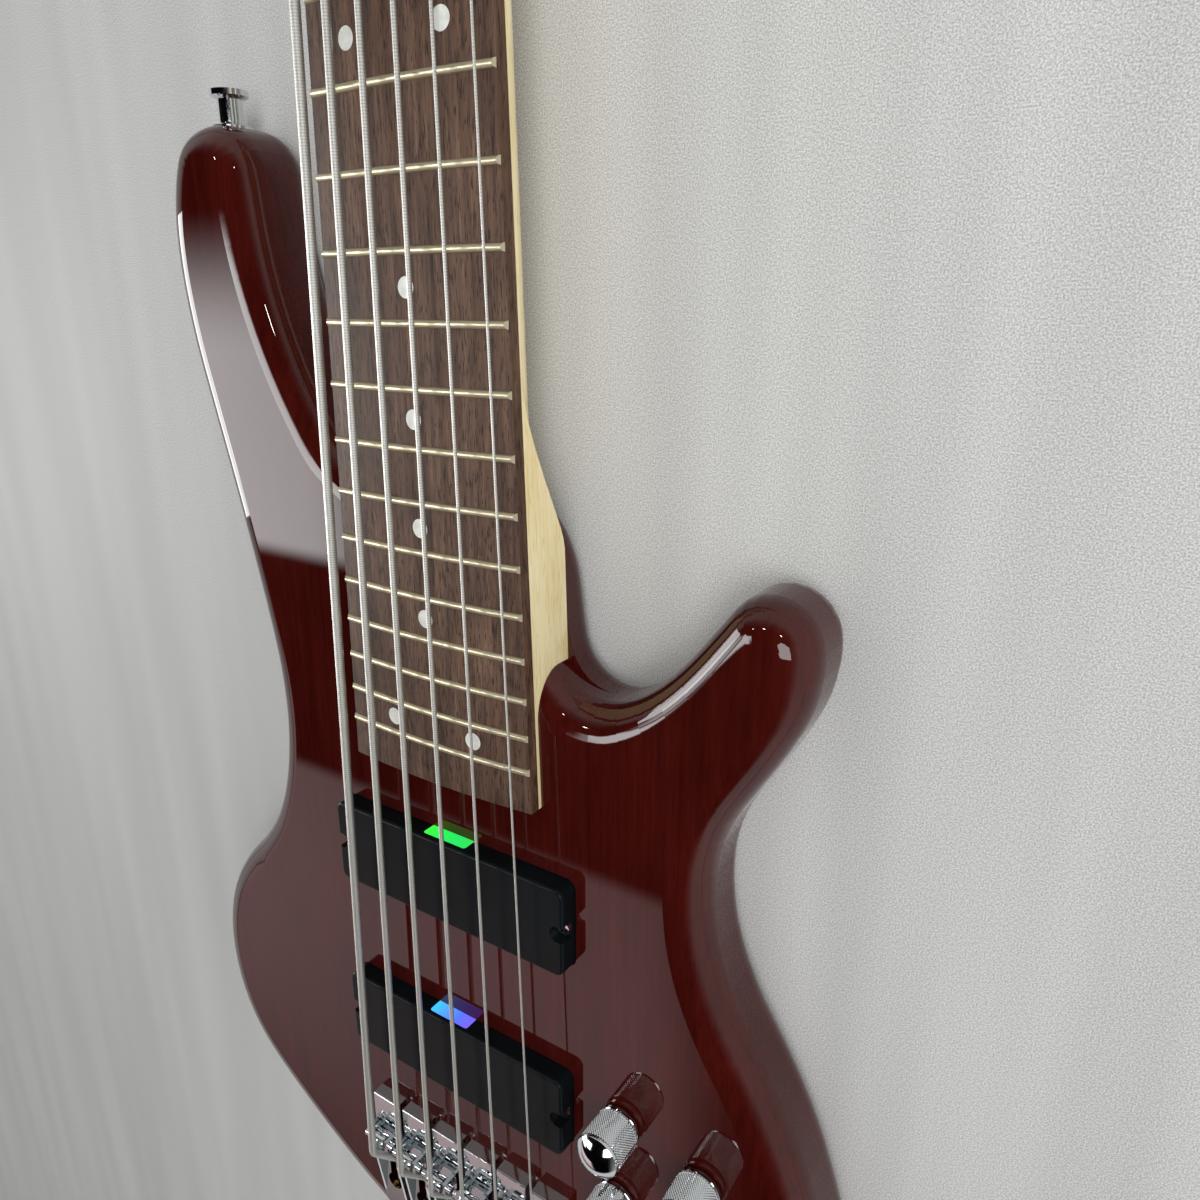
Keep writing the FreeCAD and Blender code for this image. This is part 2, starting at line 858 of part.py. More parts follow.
def nut_slot(index):
    # A slot with a round bottom, in line with the string
    radius = string_diameters[index] / 2 + string_gap
    sides = [
        V(-radius, -cut_over, 0), V(-radius, -cut_over, cut_over), V(radius, -cut_over, cut_over),
        V(radius, -cut_over, 0),
    ]
    bottom = Part.Arc(sides[-1], V(0, -cut_over, -radius), sides[0]).toShape()
    face = Part.Face(Part.Wire(polyline_edges(sides) + [bottom]))
    slot = face.extrude(V(0, nut_thickness + 2 * cut_over, 0))
    place = string_at_nut(index)
    slot.Placement = FreeCAD.Placement(place, FreeCAD.Rotation(ALONG, place - string_at_saddle(index)))
    return slot


def make_nut():
    half = half_width(nut_line)
    tallest = max(string_at_nut(i).z + string_diameters[i] * nut_slot_share / 2 for i in range(string_count))
    nut = block(-half, half, nut_line, nut_line + nut_thickness, neck_top, tallest)
    nut = nut.makeFillet(nut_thickness / 4, edges_at_height(nut, tallest))
    return nut.cut([nut_slot(index) for index in range(string_count)])


def make_truss_rod():
    axis = rod_axis_height()
    start = board_end + rod_start_gap + fit_gap
    bar_end = nut_line - rod_slot_end_gap - fit_gap
    rod_end = truss_pocket_line()
    rod = round_bar(rod_radius, V(0, start, axis), V(0, rod_end, axis))
    bar = block(-rod_radius, rod_radius, start, bar_end, axis, axis + rod_bar_height)
    stub = round_bar(rod_stub_radius, V(0, rod_end, axis), V(0, rod_end + rod_stub_length, axis))
    return rod.fuse([bar, stub])


def make_truss_rod_nut():
    axis = rod_axis_height()
    start = truss_pocket_line() + truss_pocket_play
    nut = hexagon(rod_nut_radius, 0, rod_nut_length, V(0, start, axis), ALONG)
    bore = round_bar(
        rod_stub_radius + run_gap, V(0, start - cut_over, axis),
        V(0, truss_pocket_line() + rod_stub_length + fit_gap, axis))
    key = hexagon(
        rod_nut_key_radius, rod_nut_length - rod_nut_key_depth, rod_nut_length + cut_over,
        V(0, start, axis), ALONG)
    return nut.cut([bore, key])


def make_truss_rod_cover():
    half = cover_plate_width / 2
    end = ramp_end + cover_plate_length
    plate = round_block(
        -half, half, ramp_end, end, head_top, head_top + cover_plate_thickness, cover_plate_corner)
    holes = [
        round_bar(small_shank_radius + run_gap, place, place + UP * (cover_plate_thickness + cut_over))
        for place in cover_screw_places()
    ]
    return plate.cut(holes)


# Tuners

def tuner_screw_places():
    places = []
    for _, post in tuner_places():
        for end in housing_ends(post):
            places.append(V(post.x, end, head_bottom - ear_thickness))
    return places


def housing_span(post):
    room = housing_room + housing_wall
    near = post.y - worm_offset - worm_pitch_radius - tooth_reach - room
    far = post.y + wheel_radius + tooth_reach + room
    return near, far


def housing_ends(post):
    near, far = housing_span(post)
    return near - ear_length / 2, far + ear_length / 2


def housing_half():
    return wheel_radius + tooth_reach + housing_room + housing_wall


def make_housing(side, post):
    near, far = housing_span(post)
    half = housing_half()
    shell = round_block(post.x - half, post.x + half, near, far, housing_bottom, head_bottom, housing_corner)
    shell = shell.makeFillet(housing_wall, edges_at_height(shell, housing_bottom))
    ears = round_block(
        post.x - half / 2, post.x + half / 2, near - ear_length, far + ear_length,
        head_bottom - ear_thickness, head_bottom, housing_corner)
    shell = shell.fuse(ears)
    floor = housing_bottom + housing_floor
    worm_line = post.y - worm_offset
    outer = post.x + side * (half + cut_over)
    inner_wall = post.x - side * (half - housing_wall)
    worm_tip = worm_pitch_radius + tooth_reach
    cuts = [
        round_bar(wheel_radius + tooth_reach + housing_room, V(post.x, post.y, floor),
                  V(post.x, post.y, head_bottom + cut_over)),
        round_bar(worm_tip + housing_room, V(post.x - worm_length / 2 - housing_room, worm_line, worm_height),
                  V(post.x + worm_length / 2 + housing_room, worm_line, worm_height)),
        round_bar(key_collar_radius + run_gap, V(post.x, worm_line, worm_height),
                  V(outer, worm_line, worm_height)),
        round_bar(worm_core_radius() + run_gap, V(post.x, worm_line, worm_height),
                  V(inner_wall, worm_line, worm_height)),
        round_bar(post_foot_radius + run_gap, V(post.x, post.y, housing_bottom - cut_over),
                  V(post.x, post.y, floor + cut_over)),
    ]
    for end in housing_ends(post):
        place = V(post.x, end, head_bottom - ear_thickness)
        cuts.append(round_bar(
            small_shank_radius + run_gap, place - UP * cut_over, place + UP * (ear_thickness + cut_over)))
    return shell.cut(cuts)


def worm_core_radius():
    return worm_pitch_radius - tooth_root


def worm_thread():
    # Right-handed thread along +Z, centred on the origin, with a gap facing +X at its middle
    core = worm_core_radius()
    tip = worm_pitch_radius + tooth_reach
    half_root = (tooth_thickness + tooth_taper) / 2
    half_tip = (tooth_thickness - tooth_taper) / 2
    turns = round(worm_length / worm_pitch) - 1
    height = turns * worm_pitch
    helix = Part.makeHelix(worm_pitch, height, worm_pitch_radius)
    inner = core - run_gap
    profile = Part.makePolygon([
        V(inner, 0, -half_root), V(tip, 0, -half_tip), V(tip, 0, half_tip), V(inner, 0, half_root),
        V(inner, 0, -half_root),
    ])
    thread = Part.Wire(helix.Edges).makePipeShell([profile], True, True)
    thread.translate(V(0, 0, -height / 2))
    return thread


def button_reach():
    return head_width / 2 - post_offset + key_overhang


def make_worm(thread, side):
    half = housing_half()
    core = worm_core_radius()
    outer = button_reach() + button_length / 2
    inner = half - housing_wall - fit_gap
    collar_start = worm_length / 2 + housing_room
    start, end = (-inner, collar_start + fit_gap) if side > 0 else (-collar_start - fit_gap, inner)
    worm = round_bar(core, V(0, 0, start), V(0, 0, end)).fuse(thread)
    collar = round_bar(key_collar_radius, V(0, 0, side * collar_start), V(0, 0, side * outer))
    return worm.fuse(collar)


def make_key(thread, side, post):
    worm = make_worm(thread, side)
    turn = FreeCAD.Rotation(ALONG, UP.cross(ALONG), ACROSS, "ZXY")
    worm.Placement = FreeCAD.Placement(V(post.x, post.y - worm_offset, worm_height), turn)
    inner = button_reach()
    near, far = sorted((post.x + side * inner, post.x + side * (inner + button_length)))
    line = post.y - worm_offset
    button = block(
        near, far, line - button_thickness / 2, line + button_thickness / 2,
        worm_height - button_height / 2, worm_height + button_height / 2)
    button = button.makeFillet(button_round, button.Edges)
    hole = round_bar(
        key_collar_radius, V(post.x, line, worm_height),
        V(post.x + side * (inner + button_length / 2), line, worm_height))
    return [worm, button.cut(hole)]


def wheel_outline():
    half_root = (tooth_thickness + tooth_taper) / 2 / wheel_radius
    half_tip = (tooth_thickness - tooth_taper) / 2 / wheel_radius
    root = wheel_radius - tooth_root
    tip = wheel_radius + tooth_reach
    points = []
    for tooth in range(wheel_teeth):
        middle = 2 * math.pi * tooth / wheel_teeth - math.pi / 2
        for radius, angle in ((root, -half_root), (tip, -half_tip), (tip, half_tip), (root, half_root)):
            points.append(V(radius * math.cos(middle + angle), radius * math.sin(middle + angle), 0))
    return points


def make_post(index, post):
    wheel = plate_from(wheel_outline(), wheel_bottom, wheel_bottom + wheel_thickness)
    wheel = wheel.cut(round_bar(post_lower_radius, V(0, 0, 0), V(0, 0, head_top)))
    neck_line = wheel_bottom + wheel_thickness
    top = head_top + post_reach
    profile = [
        (0, housing_bottom + fit_gap), (post_foot_radius, housing_bottom + fit_gap),
        (post_foot_radius, wheel_bottom), (post_lower_radius, wheel_bottom), (post_lower_radius, neck_line),
        (post_radius, neck_line), (post_radius, top), (0, top),
    ]
    shank = turned(profile, V(0, 0, 0), UP)
    start = wrap_start(index)
    slot = (string_diameters[0] + wrap_gap) / 2
    reach = post_radius + cut_over
    mouth = block(-reach, reach, -slot, slot, top - post_slot_depth, top + cut_over)
    mouth.rotate(V(0, 0, 0), UP, math.degrees(math.atan2(start.y - post.y, start.x - post.x)))
    shank = shank.cut(mouth)
    for piece in (wheel, shank):
        piece.translate(V(post.x, post.y, 0))
    return [shank, wheel]


def make_bushing(post):
    top = head_top + bushing_flange
    bottom = head_bottom + bushing_end_gap
    profile = [
        (post_radius + run_gap, bottom), (bushing_radius, bottom), (bushing_radius, head_top),
        (bushing_flange_radius, head_top), (bushing_flange_radius, top), (post_radius + run_gap, top),
    ]
    return turned(profile, V(post.x, post.y, 0), UP)


# Strings: straight runs and arcs to the post, then quarter-turn biarcs around it

def wrap_radius(index):
    return post_radius + wrap_gap + string_diameters[index] / 2


def wrap_height(index):
    return head_top + bushing_flange + wrap_rise + string_diameters[index] / 2


def nut_corner(index):
    place = string_at_nut(index)
    toward = (place - string_at_saddle(index)).normalize()
    return place + toward * (nut_thickness + nut_bend_setback)


def wrap_start(index):
    side, post = tuner_places()[index]
    corner = nut_corner(index)
    reach = V(post.x - corner.x, post.y - corner.y, 0)
    lean = math.asin(wrap_radius(index) / reach.Length)
    run = math.sqrt(reach.Length ** 2 - wrap_radius(index) ** 2)
    toward = FreeCAD.Rotation(UP, math.degrees(side * lean)).multVec(reach.normalize())
    place = V(corner.x, corner.y, 0) + toward * run
    return V(place.x, place.y, wrap_height(index))


def bend(before, corner, after, radius):
    back = (before - corner).normalize()
    on = (after - corner).normalize()
    turn = math.pi - back.getAngle(on)
    cut = radius * math.tan(turn / 2)
    return corner + back * cut, corner + on * cut


def ball_middle(index):
    return V(saddle_spread * string_share(index), -ball_setback, body_thickness - ball_drop - ball_radius)


def saddle_bend(index):
    return roller_radius + saddle_lift_gap + string_diameters[index] / 2


def make_string(index):
    side, post = tuner_places()[index]
    diameter = string_diameters[index]
    saddle = string_at_saddle(index)
    corner = nut_corner(index)
    arrival = wrap_start(index)
    ball = ball_middle(index)
    start = ball + (saddle - ball).normalize() * (ball_radius + run_gap)
    saddle_in, saddle_out = bend(start, saddle, corner, saddle_bend(index))
    nut_in, nut_out = bend(saddle, corner, arrival, nut_bend_radius)
    edges = [
        Part.LineSegment(start, saddle_in).toShape(), arc_edge(saddle_in, saddle, saddle_out),
        Part.LineSegment(saddle_out, nut_in).toShape(), arc_edge(nut_in, corner, nut_out),
        Part.LineSegment(nut_out, arrival).toShape(),
    ]
    radius = wrap_radius(index)
    pitch = diameter + wrap_spacing
    first_angle = math.atan2(arrival.y - post.y, arrival.x - post.x)
    place = arrival
    way = (arrival - corner).normalize()
    wraps = []
    for quarter in range(1, 4 * wrap_turns + 1):
        angle = first_angle - side * quarter * math.pi / 2
        next_place = V(post.x + radius * math.cos(angle), post.y + radius * math.sin(angle), 0)
        next_place.z = wrap_height(index) + pitch * quarter / 4
        next_way = V(side * radius * math.sin(angle), -side * radius * math.cos(angle), pitch / (2 * math.pi))
        next_way.normalize()
        wraps += biarc_edges(place, way, next_place, next_way)
        place, way = next_place, next_way
    path = Part.Wire(edges + wraps)
    circle = Part.Wire([Part.Circle(start, (saddle - start).normalize(), diameter / 2).toShape()])
    print_wrap_gap(string_names[index], wraps, diameter)
    return path.makePipeShell([circle], True, False)


def print_wrap_gap(name, wraps, diameter):
    points = []
    for edge in wraps:
        points += edge.discretize(Number=9)[:-1]
    apart = len(points) // (2 * wrap_turns)
    least = min(
        (p - q).Length for i, p in enumerate(points) for q in points[i + apart:])
    print(name, "least gap between turns", round(least - diameter, 3))


def make_ball(index):
    middle = ball_middle(index)
    half = V(ball_length / 2, 0, 0)
    return round_bar(ball_radius, middle - half, middle + half)


# Bridge units

def make_unit(index):
    x = saddle_spread * string_share(index)
    half = unit_width / 2
    block_top = body_thickness + unit_block_height
    wall_top = body_thickness + unit_wall_height
    side = [
        V(0, unit_front, body_thickness), V(0, unit_front - unit_block_lean, block_top),
        V(0, unit_block_rear, block_top), V(0, unit_block_rear, wall_top),
        V(0, -unit_wall_straight, wall_top),
        V(0, -unit_wall_end, unit_top), V(0, -unit_tail, unit_top), V(0, -unit_tail, body_thickness),
    ]
    unit = across_slab(polyline_edges(side + side[:1]), half)
    tail_corners = [e for e in upright_corners(unit) if e.BoundBox.YMax < -unit_tail + run_gap]
    unit = unit.makeFillet(unit_tail_round, tail_corners)
    brow = [e for e in edges_at_height(unit, block_top) if e.BoundBox.YMin > unit_block_rear + run_gap]
    unit = unit.makeFillet(unit_edge_round, brow)
    unit.translate(V(x, 0, 0))
    inner = half - unit_wall
    slot = keyhole_width / 2
    cuts = [
        block(x - inner, x + inner, -unit_tail - cut_over, unit_block_rear, unit_top, wall_top + cut_over),
        block(x - slot, x + slot, -keyhole_setback, -keyhole_front, 0, unit_top + cut_over),
        round_bar(keyhole_radius, V(x, -keyhole_setback, 0), V(x, -keyhole_setback, unit_top + cut_over)),
    ]
    for seat in bridge_screw_seats(index):
        top = V(seat.x, seat.y, block_top + cut_over)
        cuts.append(round_bar(bridge_screw_radius + run_gap, V(seat.x, seat.y, 0), top))
        cuts.append(round_bar(bridge_screw_head_radius + bridge_screw_play, seat, top))
    return unit.cut(cuts)


def roller_axis(index):
    # Set forward by the travel, so that the roller at the end of its slide lies in the string's bend
    saddle = string_at_saddle(index)
    radius = saddle_bend(index)
    _, front = bend(ball_middle(index), saddle, nut_corner(index), radius)
    return V(saddle.x, front.y + saddle_travel, saddle.z - radius)


def make_saddle(index):
    axis = roller_axis(index)
    half = unit_width / 2 - unit_wall - saddle_side_gap
    floor = unit_top + run_gap
    cheek_top = axis.z + saddle_cheek_rise
    room = half - saddle_cheek
    frame = block(
        axis.x - half, axis.x + half, axis.y - saddle_rear, axis.y + saddle_front,
        floor, floor + saddle_floor)
    for side in (-1, 1):
        inner, outer = sorted((axis.x + side * room, axis.x + side * half))
        cheek = block(
            inner, outer, axis.y - saddle_front, axis.y + saddle_front, floor, cheek_top)
        frame = frame.fuse(cheek)
    well = round_bar(
        roller_radius + saddle_lift_gap, V(axis.x - room, axis.y, axis.z), V(axis.x + room, axis.y, axis.z))
    hole = round_bar(
        axle_radius, V(axis.x - half - cut_over, axis.y, axis.z), V(axis.x + half + cut_over, axis.y, axis.z))
    frame = frame.cut([well, hole])
    face = room - roller_end_gap
    end = half + axle_end_length
    groove = string_diameters[index] / 2 + roller_groove
    rim = roller_radius + roller_groove / 2
    profile = [
        (0, -end), (axle_end_radius, -end), (axle_end_radius, -half), (axle_radius, -half),
        (axle_radius, -face),
        (rim, -face), (rim, -groove), (roller_radius, 0), (rim, groove), (rim, face), (axle_radius, face),
        (axle_radius, half), (axle_end_radius, half), (axle_end_radius, end), (0, end),
    ]
    return [frame, turned(profile, axis, ACROSS)]


def make_bridge_screws():
    return [
        pan_screw(seat, -UP, bridge_screw_head_radius, bridge_screw_head_height,
                  bridge_screw_radius, bridge_screw_length)
        for index in range(string_count) for seat in bridge_screw_seats(index)
    ]


# Pickups

def pickup_top():
    return body_thickness + pickup_proud


def pickup_screw_seat():
    return pickup_top() - pickup_notch_depth


def pickup_screw_places(middle):
    reach = pickup_length / 2 - pickup_notch_inset
    return [V(middle.x - reach, middle.y, 0), V(middle.x + reach, middle.y, 0)]


def make_pickup(middle):
    top = pickup_top()
    bottom = top - pickup_height
    half_x = pickup_length / 2
    half_y = pickup_width / 2
    cover = round_block(
        middle.x - half_x, middle.x + half_x, middle.y - half_y, middle.y + half_y,
        bottom, top, pickup_corner)
    cover = cover.makeFillet(pickup_edge, edges_at_height(cover, top))
    room_x = half_x - pickup_ear_inset
    room_y = half_y - pickup_wall
    room_top = top - pickup_wall
    cuts = [block(
        middle.x - room_x, middle.x + room_x, middle.y - room_y, middle.y + room_y,
        bottom - cut_over, room_top)]
    screws = []
    seat_height = pickup_screw_seat()
    for place in pickup_screw_places(middle):
        seat = V(place.x, place.y, seat_height)
        side = 1 if place.x > middle.x else -1
        edge = middle.x + side * (half_x + cut_over)
        low, high = sorted((place.x, edge))
        cuts.append(round_bar(pickup_notch_radius, seat, V(place.x, place.y, top + cut_over)))
        cuts.append(block(
            low, high, place.y - pickup_notch_radius, place.y + pickup_notch_radius,
            seat_height, top + cut_over))
        cuts.append(round_bar(pickup_screw_radius, V(place.x, place.y, bottom - cut_over), seat))
        screws.append(pan_screw(
            seat, -UP, pickup_screw_head_radius, pickup_screw_head_height,
            pickup_screw_radius, pickup_screw_length))
    coil_x = room_x - coil_play
    coil_y = room_y - coil_play
    coil_bottom = room_top - coil_height
    coil = round_block(
        middle.x - coil_x, middle.x + coil_x, middle.y - coil_y, middle.y + coil_y,
        coil_bottom, room_top, coil_wall)
    bar = block(
        middle.x - coil_x + coil_wall, middle.x + coil_x - coil_wall,
        middle.y - magnet_width / 2, middle.y + magnet_width / 2, coil_bottom, room_top)
    return cover.cut(cuts), [coil.cut(bar), bar], screws


# Controls

def knob_base():
    return body_thickness + knob_gap


def make_knob(place):
    base = knob_base()
    groove = base + knob_ring_height
    barrel = groove + knob_groove_height
    dome = barrel + knob_barrel_height
    peak = dome + knob_dome_height
    rise = (knob_radius ** 2 - knob_dome_height ** 2) / (2 * knob_dome_height)
    ball = knob_dome_height + rise
    half_turn = math.asin(knob_radius / ball) / 2
    crest = V(ball * math.sin(half_turn), 0, dome - rise + ball * math.cos(half_turn))
    hollow = base + knob_hollow_height
    shaft_top = hollow + knob_shaft_depth - knob_hollow_height
    corners = [
        V(0, 0, peak), V(0, 0, shaft_top), V(pot_shaft_radius, 0, shaft_top), V(pot_shaft_radius, 0, hollow),
        V(knob_hollow_radius, 0, hollow), V(knob_hollow_radius, 0, base), V(knob_ring_radius, 0, base),
        V(knob_ring_radius, 0, groove), V(knob_groove_radius, 0, groove), V(knob_groove_radius, 0, barrel),
        V(knob_radius, 0, barrel), V(knob_radius, 0, dome),
    ]
    edges = polyline_edges(corners) + [Part.Arc(corners[-1], crest, corners[0]).toShape()]
    knob = Part.Face(Part.Wire(edges)).revolve(V(0, 0, 0), UP, 360)
    knob.translate(place)
    low = body_thickness - cavity_roof - pot_height + pot_floor
    shaft = round_bar(pot_shaft_radius, V(place.x, place.y, low), V(place.x, place.y, shaft_top))
    return [knob, shaft]


def make_pot(place):
    roof = body_thickness - cavity_roof
    bottom = roof - pot_height
    can = round_bar(pot_radius, V(place.x, place.y, bottom), V(place.x, place.y, roof))
    bush = round_bar(
        pot_bush_radius, V(place.x, place.y, bottom), V(place.x, place.y, body_thickness + pot_bush_reach))
    bore = round_bar(
        pot_shaft_radius + run_gap, V(place.x, place.y, bottom + pot_floor - fit_gap),
        V(place.x, place.y, body_thickness + pot_bush_reach + cut_over))
    return can.fuse(bush).cut(bore)


def make_pot_nut(place):
    nut = hexagon(pot_nut_radius, body_thickness, body_thickness + pot_nut_height, place, UP)
    hole = round_bar(
        pot_bush_radius + run_gap, place, V(place.x, place.y, body_thickness + pot_nut_height + cut_over))
    return nut.cut(hole)


def make_control_cover():
    lip = control_cover_lip
    cover = round_block(
        cavity_left - lip, cavity_right + lip, cavity_tail - lip, cavity_head + lip,
        0, control_cover_thickness, control_cover_corner)
    cuts = []
    for place in control_screw_places():
        head = V(place.x, place.y, control_cover_thickness - small_head_height / 2)
        cuts.append(round_bar(small_shank_radius + run_gap, place, place + UP * cut_over))
        cuts.append(round_bar(small_head_radius + run_gap, place - UP * cut_over, head))
    return cover.cut(cuts)


def make_jack():
    mouth = jack_face() + jack_proud
    barrel = round_bar(
        jack_radius, V(mouth - jack_length, jack_along, jack_height), V(mouth, jack_along, jack_height))
    bore = round_bar(
        jack_bore_radius, V(mouth - jack_bore_length, jack_along, jack_height),
        V(mouth + cut_over, jack_along, jack_height))
    return barrel.cut(bore)


def make_jack_nut():
    face = V(jack_face(), jack_along, jack_height)
    nut = hexagon(jack_nut_radius, 0, jack_nut_height, face, ACROSS)
    hole = round_bar(jack_radius + run_gap, face - ACROSS * cut_over, face + ACROSS * cut_over)
    return nut.cut(hole)


# Fasteners and strap buttons

def make_neck_plate():
    x0, x1, y0, y1 = plate_box()
    plate = round_block(x0, x1, y0, y1, 0, plate_thickness, plate_corner)
    cuts = []
    for place in neck_screw_places():
        floor = V(place.x, place.y, 0)
        cuts.append(round_bar(neck_screw_radius + run_gap, floor - UP * cut_over, place + UP * cut_over))
        cuts.append(neck_screw_head(floor, run_gap))
    return plate.cut(cuts)


def neck_screw_head(floor, gap):
    profile = [
        (0, 0), (neck_screw_head_radius + gap, 0), (neck_screw_radius + gap, plate_thickness),
        (0, plate_thickness),
    ]
    return turned(profile, floor, UP)


def make_neck_screw(place):
    floor = V(place.x, place.y, 0)
    shank = round_bar(neck_screw_radius, floor, floor + UP * neck_screw_length)
    recess = cross_recess(neck_screw_head_radius, -cut_over, plate_thickness * cross_depth_share)
    for bar in recess:
        bar.translate(floor)
    return shank.fuse(neck_screw_head(floor, 0)).cut(recess)


def make_strap_button(seat, axis):
    waist = strap_base_height
    head = waist + strap_waist_height
    top = head + strap_head_height
    sink = top - strap_screw_head_height
    hole = strap_screw_radius + run_gap
    profile = [
        (hole, 0), (strap_base_radius, 0), (strap_base_radius, waist / 2), (strap_waist_radius, waist),
        (strap_waist_radius, head), (strap_head_radius, head + strap_head_height / 3),
        (strap_head_radius, top), (strap_screw_head_radius + run_gap, top),
        (strap_screw_head_radius + run_gap, sink),
        (hole, sink),
    ]
    return turned(profile, seat, axis)


def make_strap_screw(seat, axis):
    height = strap_base_height + strap_waist_height + strap_head_height - strap_screw_head_height
    return pan_screw(
        seat + axis * height, -axis, strap_screw_head_radius, strap_screw_head_height,
        strap_screw_radius, strap_screw_length + height)


def make_small_screws():
    screws = [small_screw(place, UP) for place in tuner_screw_places()]
    for place in cover_screw_places():
        screws.append(small_screw(V(place.x, place.y, head_top + cover_plate_thickness), -UP))
    for place in control_screw_places():
        screws.append(small_screw(V(place.x, place.y, control_cover_thickness - small_head_height / 2), UP))
    return screws


# All nodes

def make_nodes():
    nodes = {"body": [make_body()], "neck": [make_neck()]}
    frets = [make_fret(number + 1) for number in range(fret_count)]
    dots = make_dots()
    side_dots = make_side_dots()
    nodes["fingerboard"] = [board_blank().cut(frets + dots + side_dots)]
    nodes["frets"] = frets
    nodes["position_dots"] = dots
    nodes["side_dots"] = side_dots
    nodes["nut"] = [make_nut()]
    nodes["truss_rod"] = [make_truss_rod()]
    nodes["truss_rod_nut"] = [make_truss_rod_nut()]
    nodes["truss_rod_cover"] = [make_truss_rod_cover()]
    nodes["small_screws"] = make_small_screws()

    thread = worm_thread()
    places = tuner_places()
    nodes["tuner_housings"] = [make_housing(side, post) for side, post in places]
    nodes["tuner_bushings"] = [make_bushing(post) for _, post in places]
    for index, (side, post) in enumerate(places):
        nodes["tuner_key_%d" % (index + 1)] = make_key(thread, side, post)
        nodes["tuner_post_%d" % (index + 1)] = make_post(index, post)
        nodes[string_names[index]] = [make_string(index)]
        nodes["bridge_saddle_%d" % (index + 1)] = make_saddle(index)
    nodes["string_ball_ends"] = [make_ball(index) for index in range(string_count)]
    nodes["bridge_bases"] = [make_unit(index) for index in range(string_count)]
    nodes["bridge_screws"] = make_bridge_screws()

    for name, middle in pickup_places().items():
        cover, core, screws = make_pickup(middle)
        nodes[name + "_cover"] = [cover]
        nodes[name + "_core"] = core
        nodes[name + "_screws"] = screws

    for name, place in zip(knob_names, knob_places()):
        nodes[name] = make_knob(place)
    nodes["potentiometers"] = [make_pot(place) for place in knob_places()]
    nodes["pot_nuts"] = [make_pot_nut(place) for place in knob_places()]
    nodes["control_cover"] = [make_control_cover()]
    nodes["output_jack"] = [make_jack()]
    nodes["jack_nut"] = [make_jack_nut()]

    nodes["neck_plate"] = [make_neck_plate()]
    nodes["neck_screws"] = [make_neck_screw(place) for place in neck_screw_places()]
    nodes["strap_buttons"] = [make_strap_button(seat, axis) for seat, axis in strap_seats()]
    nodes["strap_button_screws"] = [make_strap_screw(seat, axis) for seat, axis in strap_seats()]
    return nodes


os.makedirs("parts", exist_ok=True)
for node, pieces in make_nodes().items():
    shape = pieces[0] if len(pieces) == 1 else Part.makeCompound(pieces)
    shape.exportStep("parts/%s.step" % node)
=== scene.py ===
import math

import bpy
from mathutils import Matrix, Vector


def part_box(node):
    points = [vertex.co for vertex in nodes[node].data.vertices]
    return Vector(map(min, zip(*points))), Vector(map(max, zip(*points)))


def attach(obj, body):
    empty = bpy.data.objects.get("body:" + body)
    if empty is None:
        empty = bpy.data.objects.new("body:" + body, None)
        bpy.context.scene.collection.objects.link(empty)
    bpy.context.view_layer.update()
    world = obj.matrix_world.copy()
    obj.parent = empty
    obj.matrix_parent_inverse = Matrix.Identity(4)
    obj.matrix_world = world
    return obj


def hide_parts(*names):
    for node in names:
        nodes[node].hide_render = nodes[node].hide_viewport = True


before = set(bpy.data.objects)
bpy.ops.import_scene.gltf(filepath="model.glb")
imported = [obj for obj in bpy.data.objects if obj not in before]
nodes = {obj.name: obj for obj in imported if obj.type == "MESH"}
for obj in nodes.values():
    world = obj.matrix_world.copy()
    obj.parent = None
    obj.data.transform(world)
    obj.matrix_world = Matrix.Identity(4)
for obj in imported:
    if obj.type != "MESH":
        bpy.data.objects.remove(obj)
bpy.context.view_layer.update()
scene = bpy.context.scene
scene.view_settings.view_transform = "Standard"

MM = 0.001
WHITE = "#ffffff"


# Helpers for materials

def linear(hex_colour):
    """An sRGB hex value as a linear colour with full alpha."""
    parts = [int(hex_colour[i:i + 2], 16) / 255 for i in (1, 3, 5)]
    return [c / 12.92 if c <= 0.04045 else ((c + 0.055) / 1.055) ** 2.4 for c in parts] + [1.0]


def add_node(tree, kind, settings=None, links=None):
    """Add one node: settings are its properties or input values, and links join its inputs."""
    made = tree.nodes.new(kind)
    for key, value in (settings or {}).items():
        if isinstance(key, str) and hasattr(made, key):
            setattr(made, key, value)
        else:
            made.inputs[key].default_value = value
    for key, socket in (links or {}).items():
        tree.links.new(socket, made.inputs[key])
    return made


def new_material(name):
    """A node material with its shader, and the object coordinates that patterns are drawn on."""
    material = bpy.data.materials.new(name)
    material.use_nodes = True
    tree = material.node_tree
    shader = tree.nodes["Principled BSDF"]
    place = add_node(tree, "ShaderNodeTexCoord").outputs["Object"]
    return material, tree, shader, place


def sockets(material):
    """The inputs of a material's shader."""
    return material.node_tree.nodes["Principled BSDF"].inputs


def noise(tree, place, size_mm, detail, falloff=0.5):
    """Noise with features of that size along x, y and z. Falloff is the share that each finer layer keeps."""
    stretch = add_node(tree, "ShaderNodeMapping", {"Scale": tuple(1 / (size * MM) for size in size_mm)},
                       {"Vector": place})
    return add_node(tree, "ShaderNodeTexNoise", {"Scale": 1.0, "Detail": detail, "Roughness": falloff},
                    {"Vector": stretch.outputs["Vector"]}).outputs["Fac"]


def streaks(tree, place, size_mm, detail):
    """Noise drawn out along the strings, with features of that width and length."""
    width, length = size_mm
    return noise(tree, place, (width, length, width), detail, falloff=0.6)


def clouds(tree, place, size_mm, detail):
    """Noise that is the same in every direction."""
    return noise(tree, place, (size_mm, size_mm, size_mm), detail)


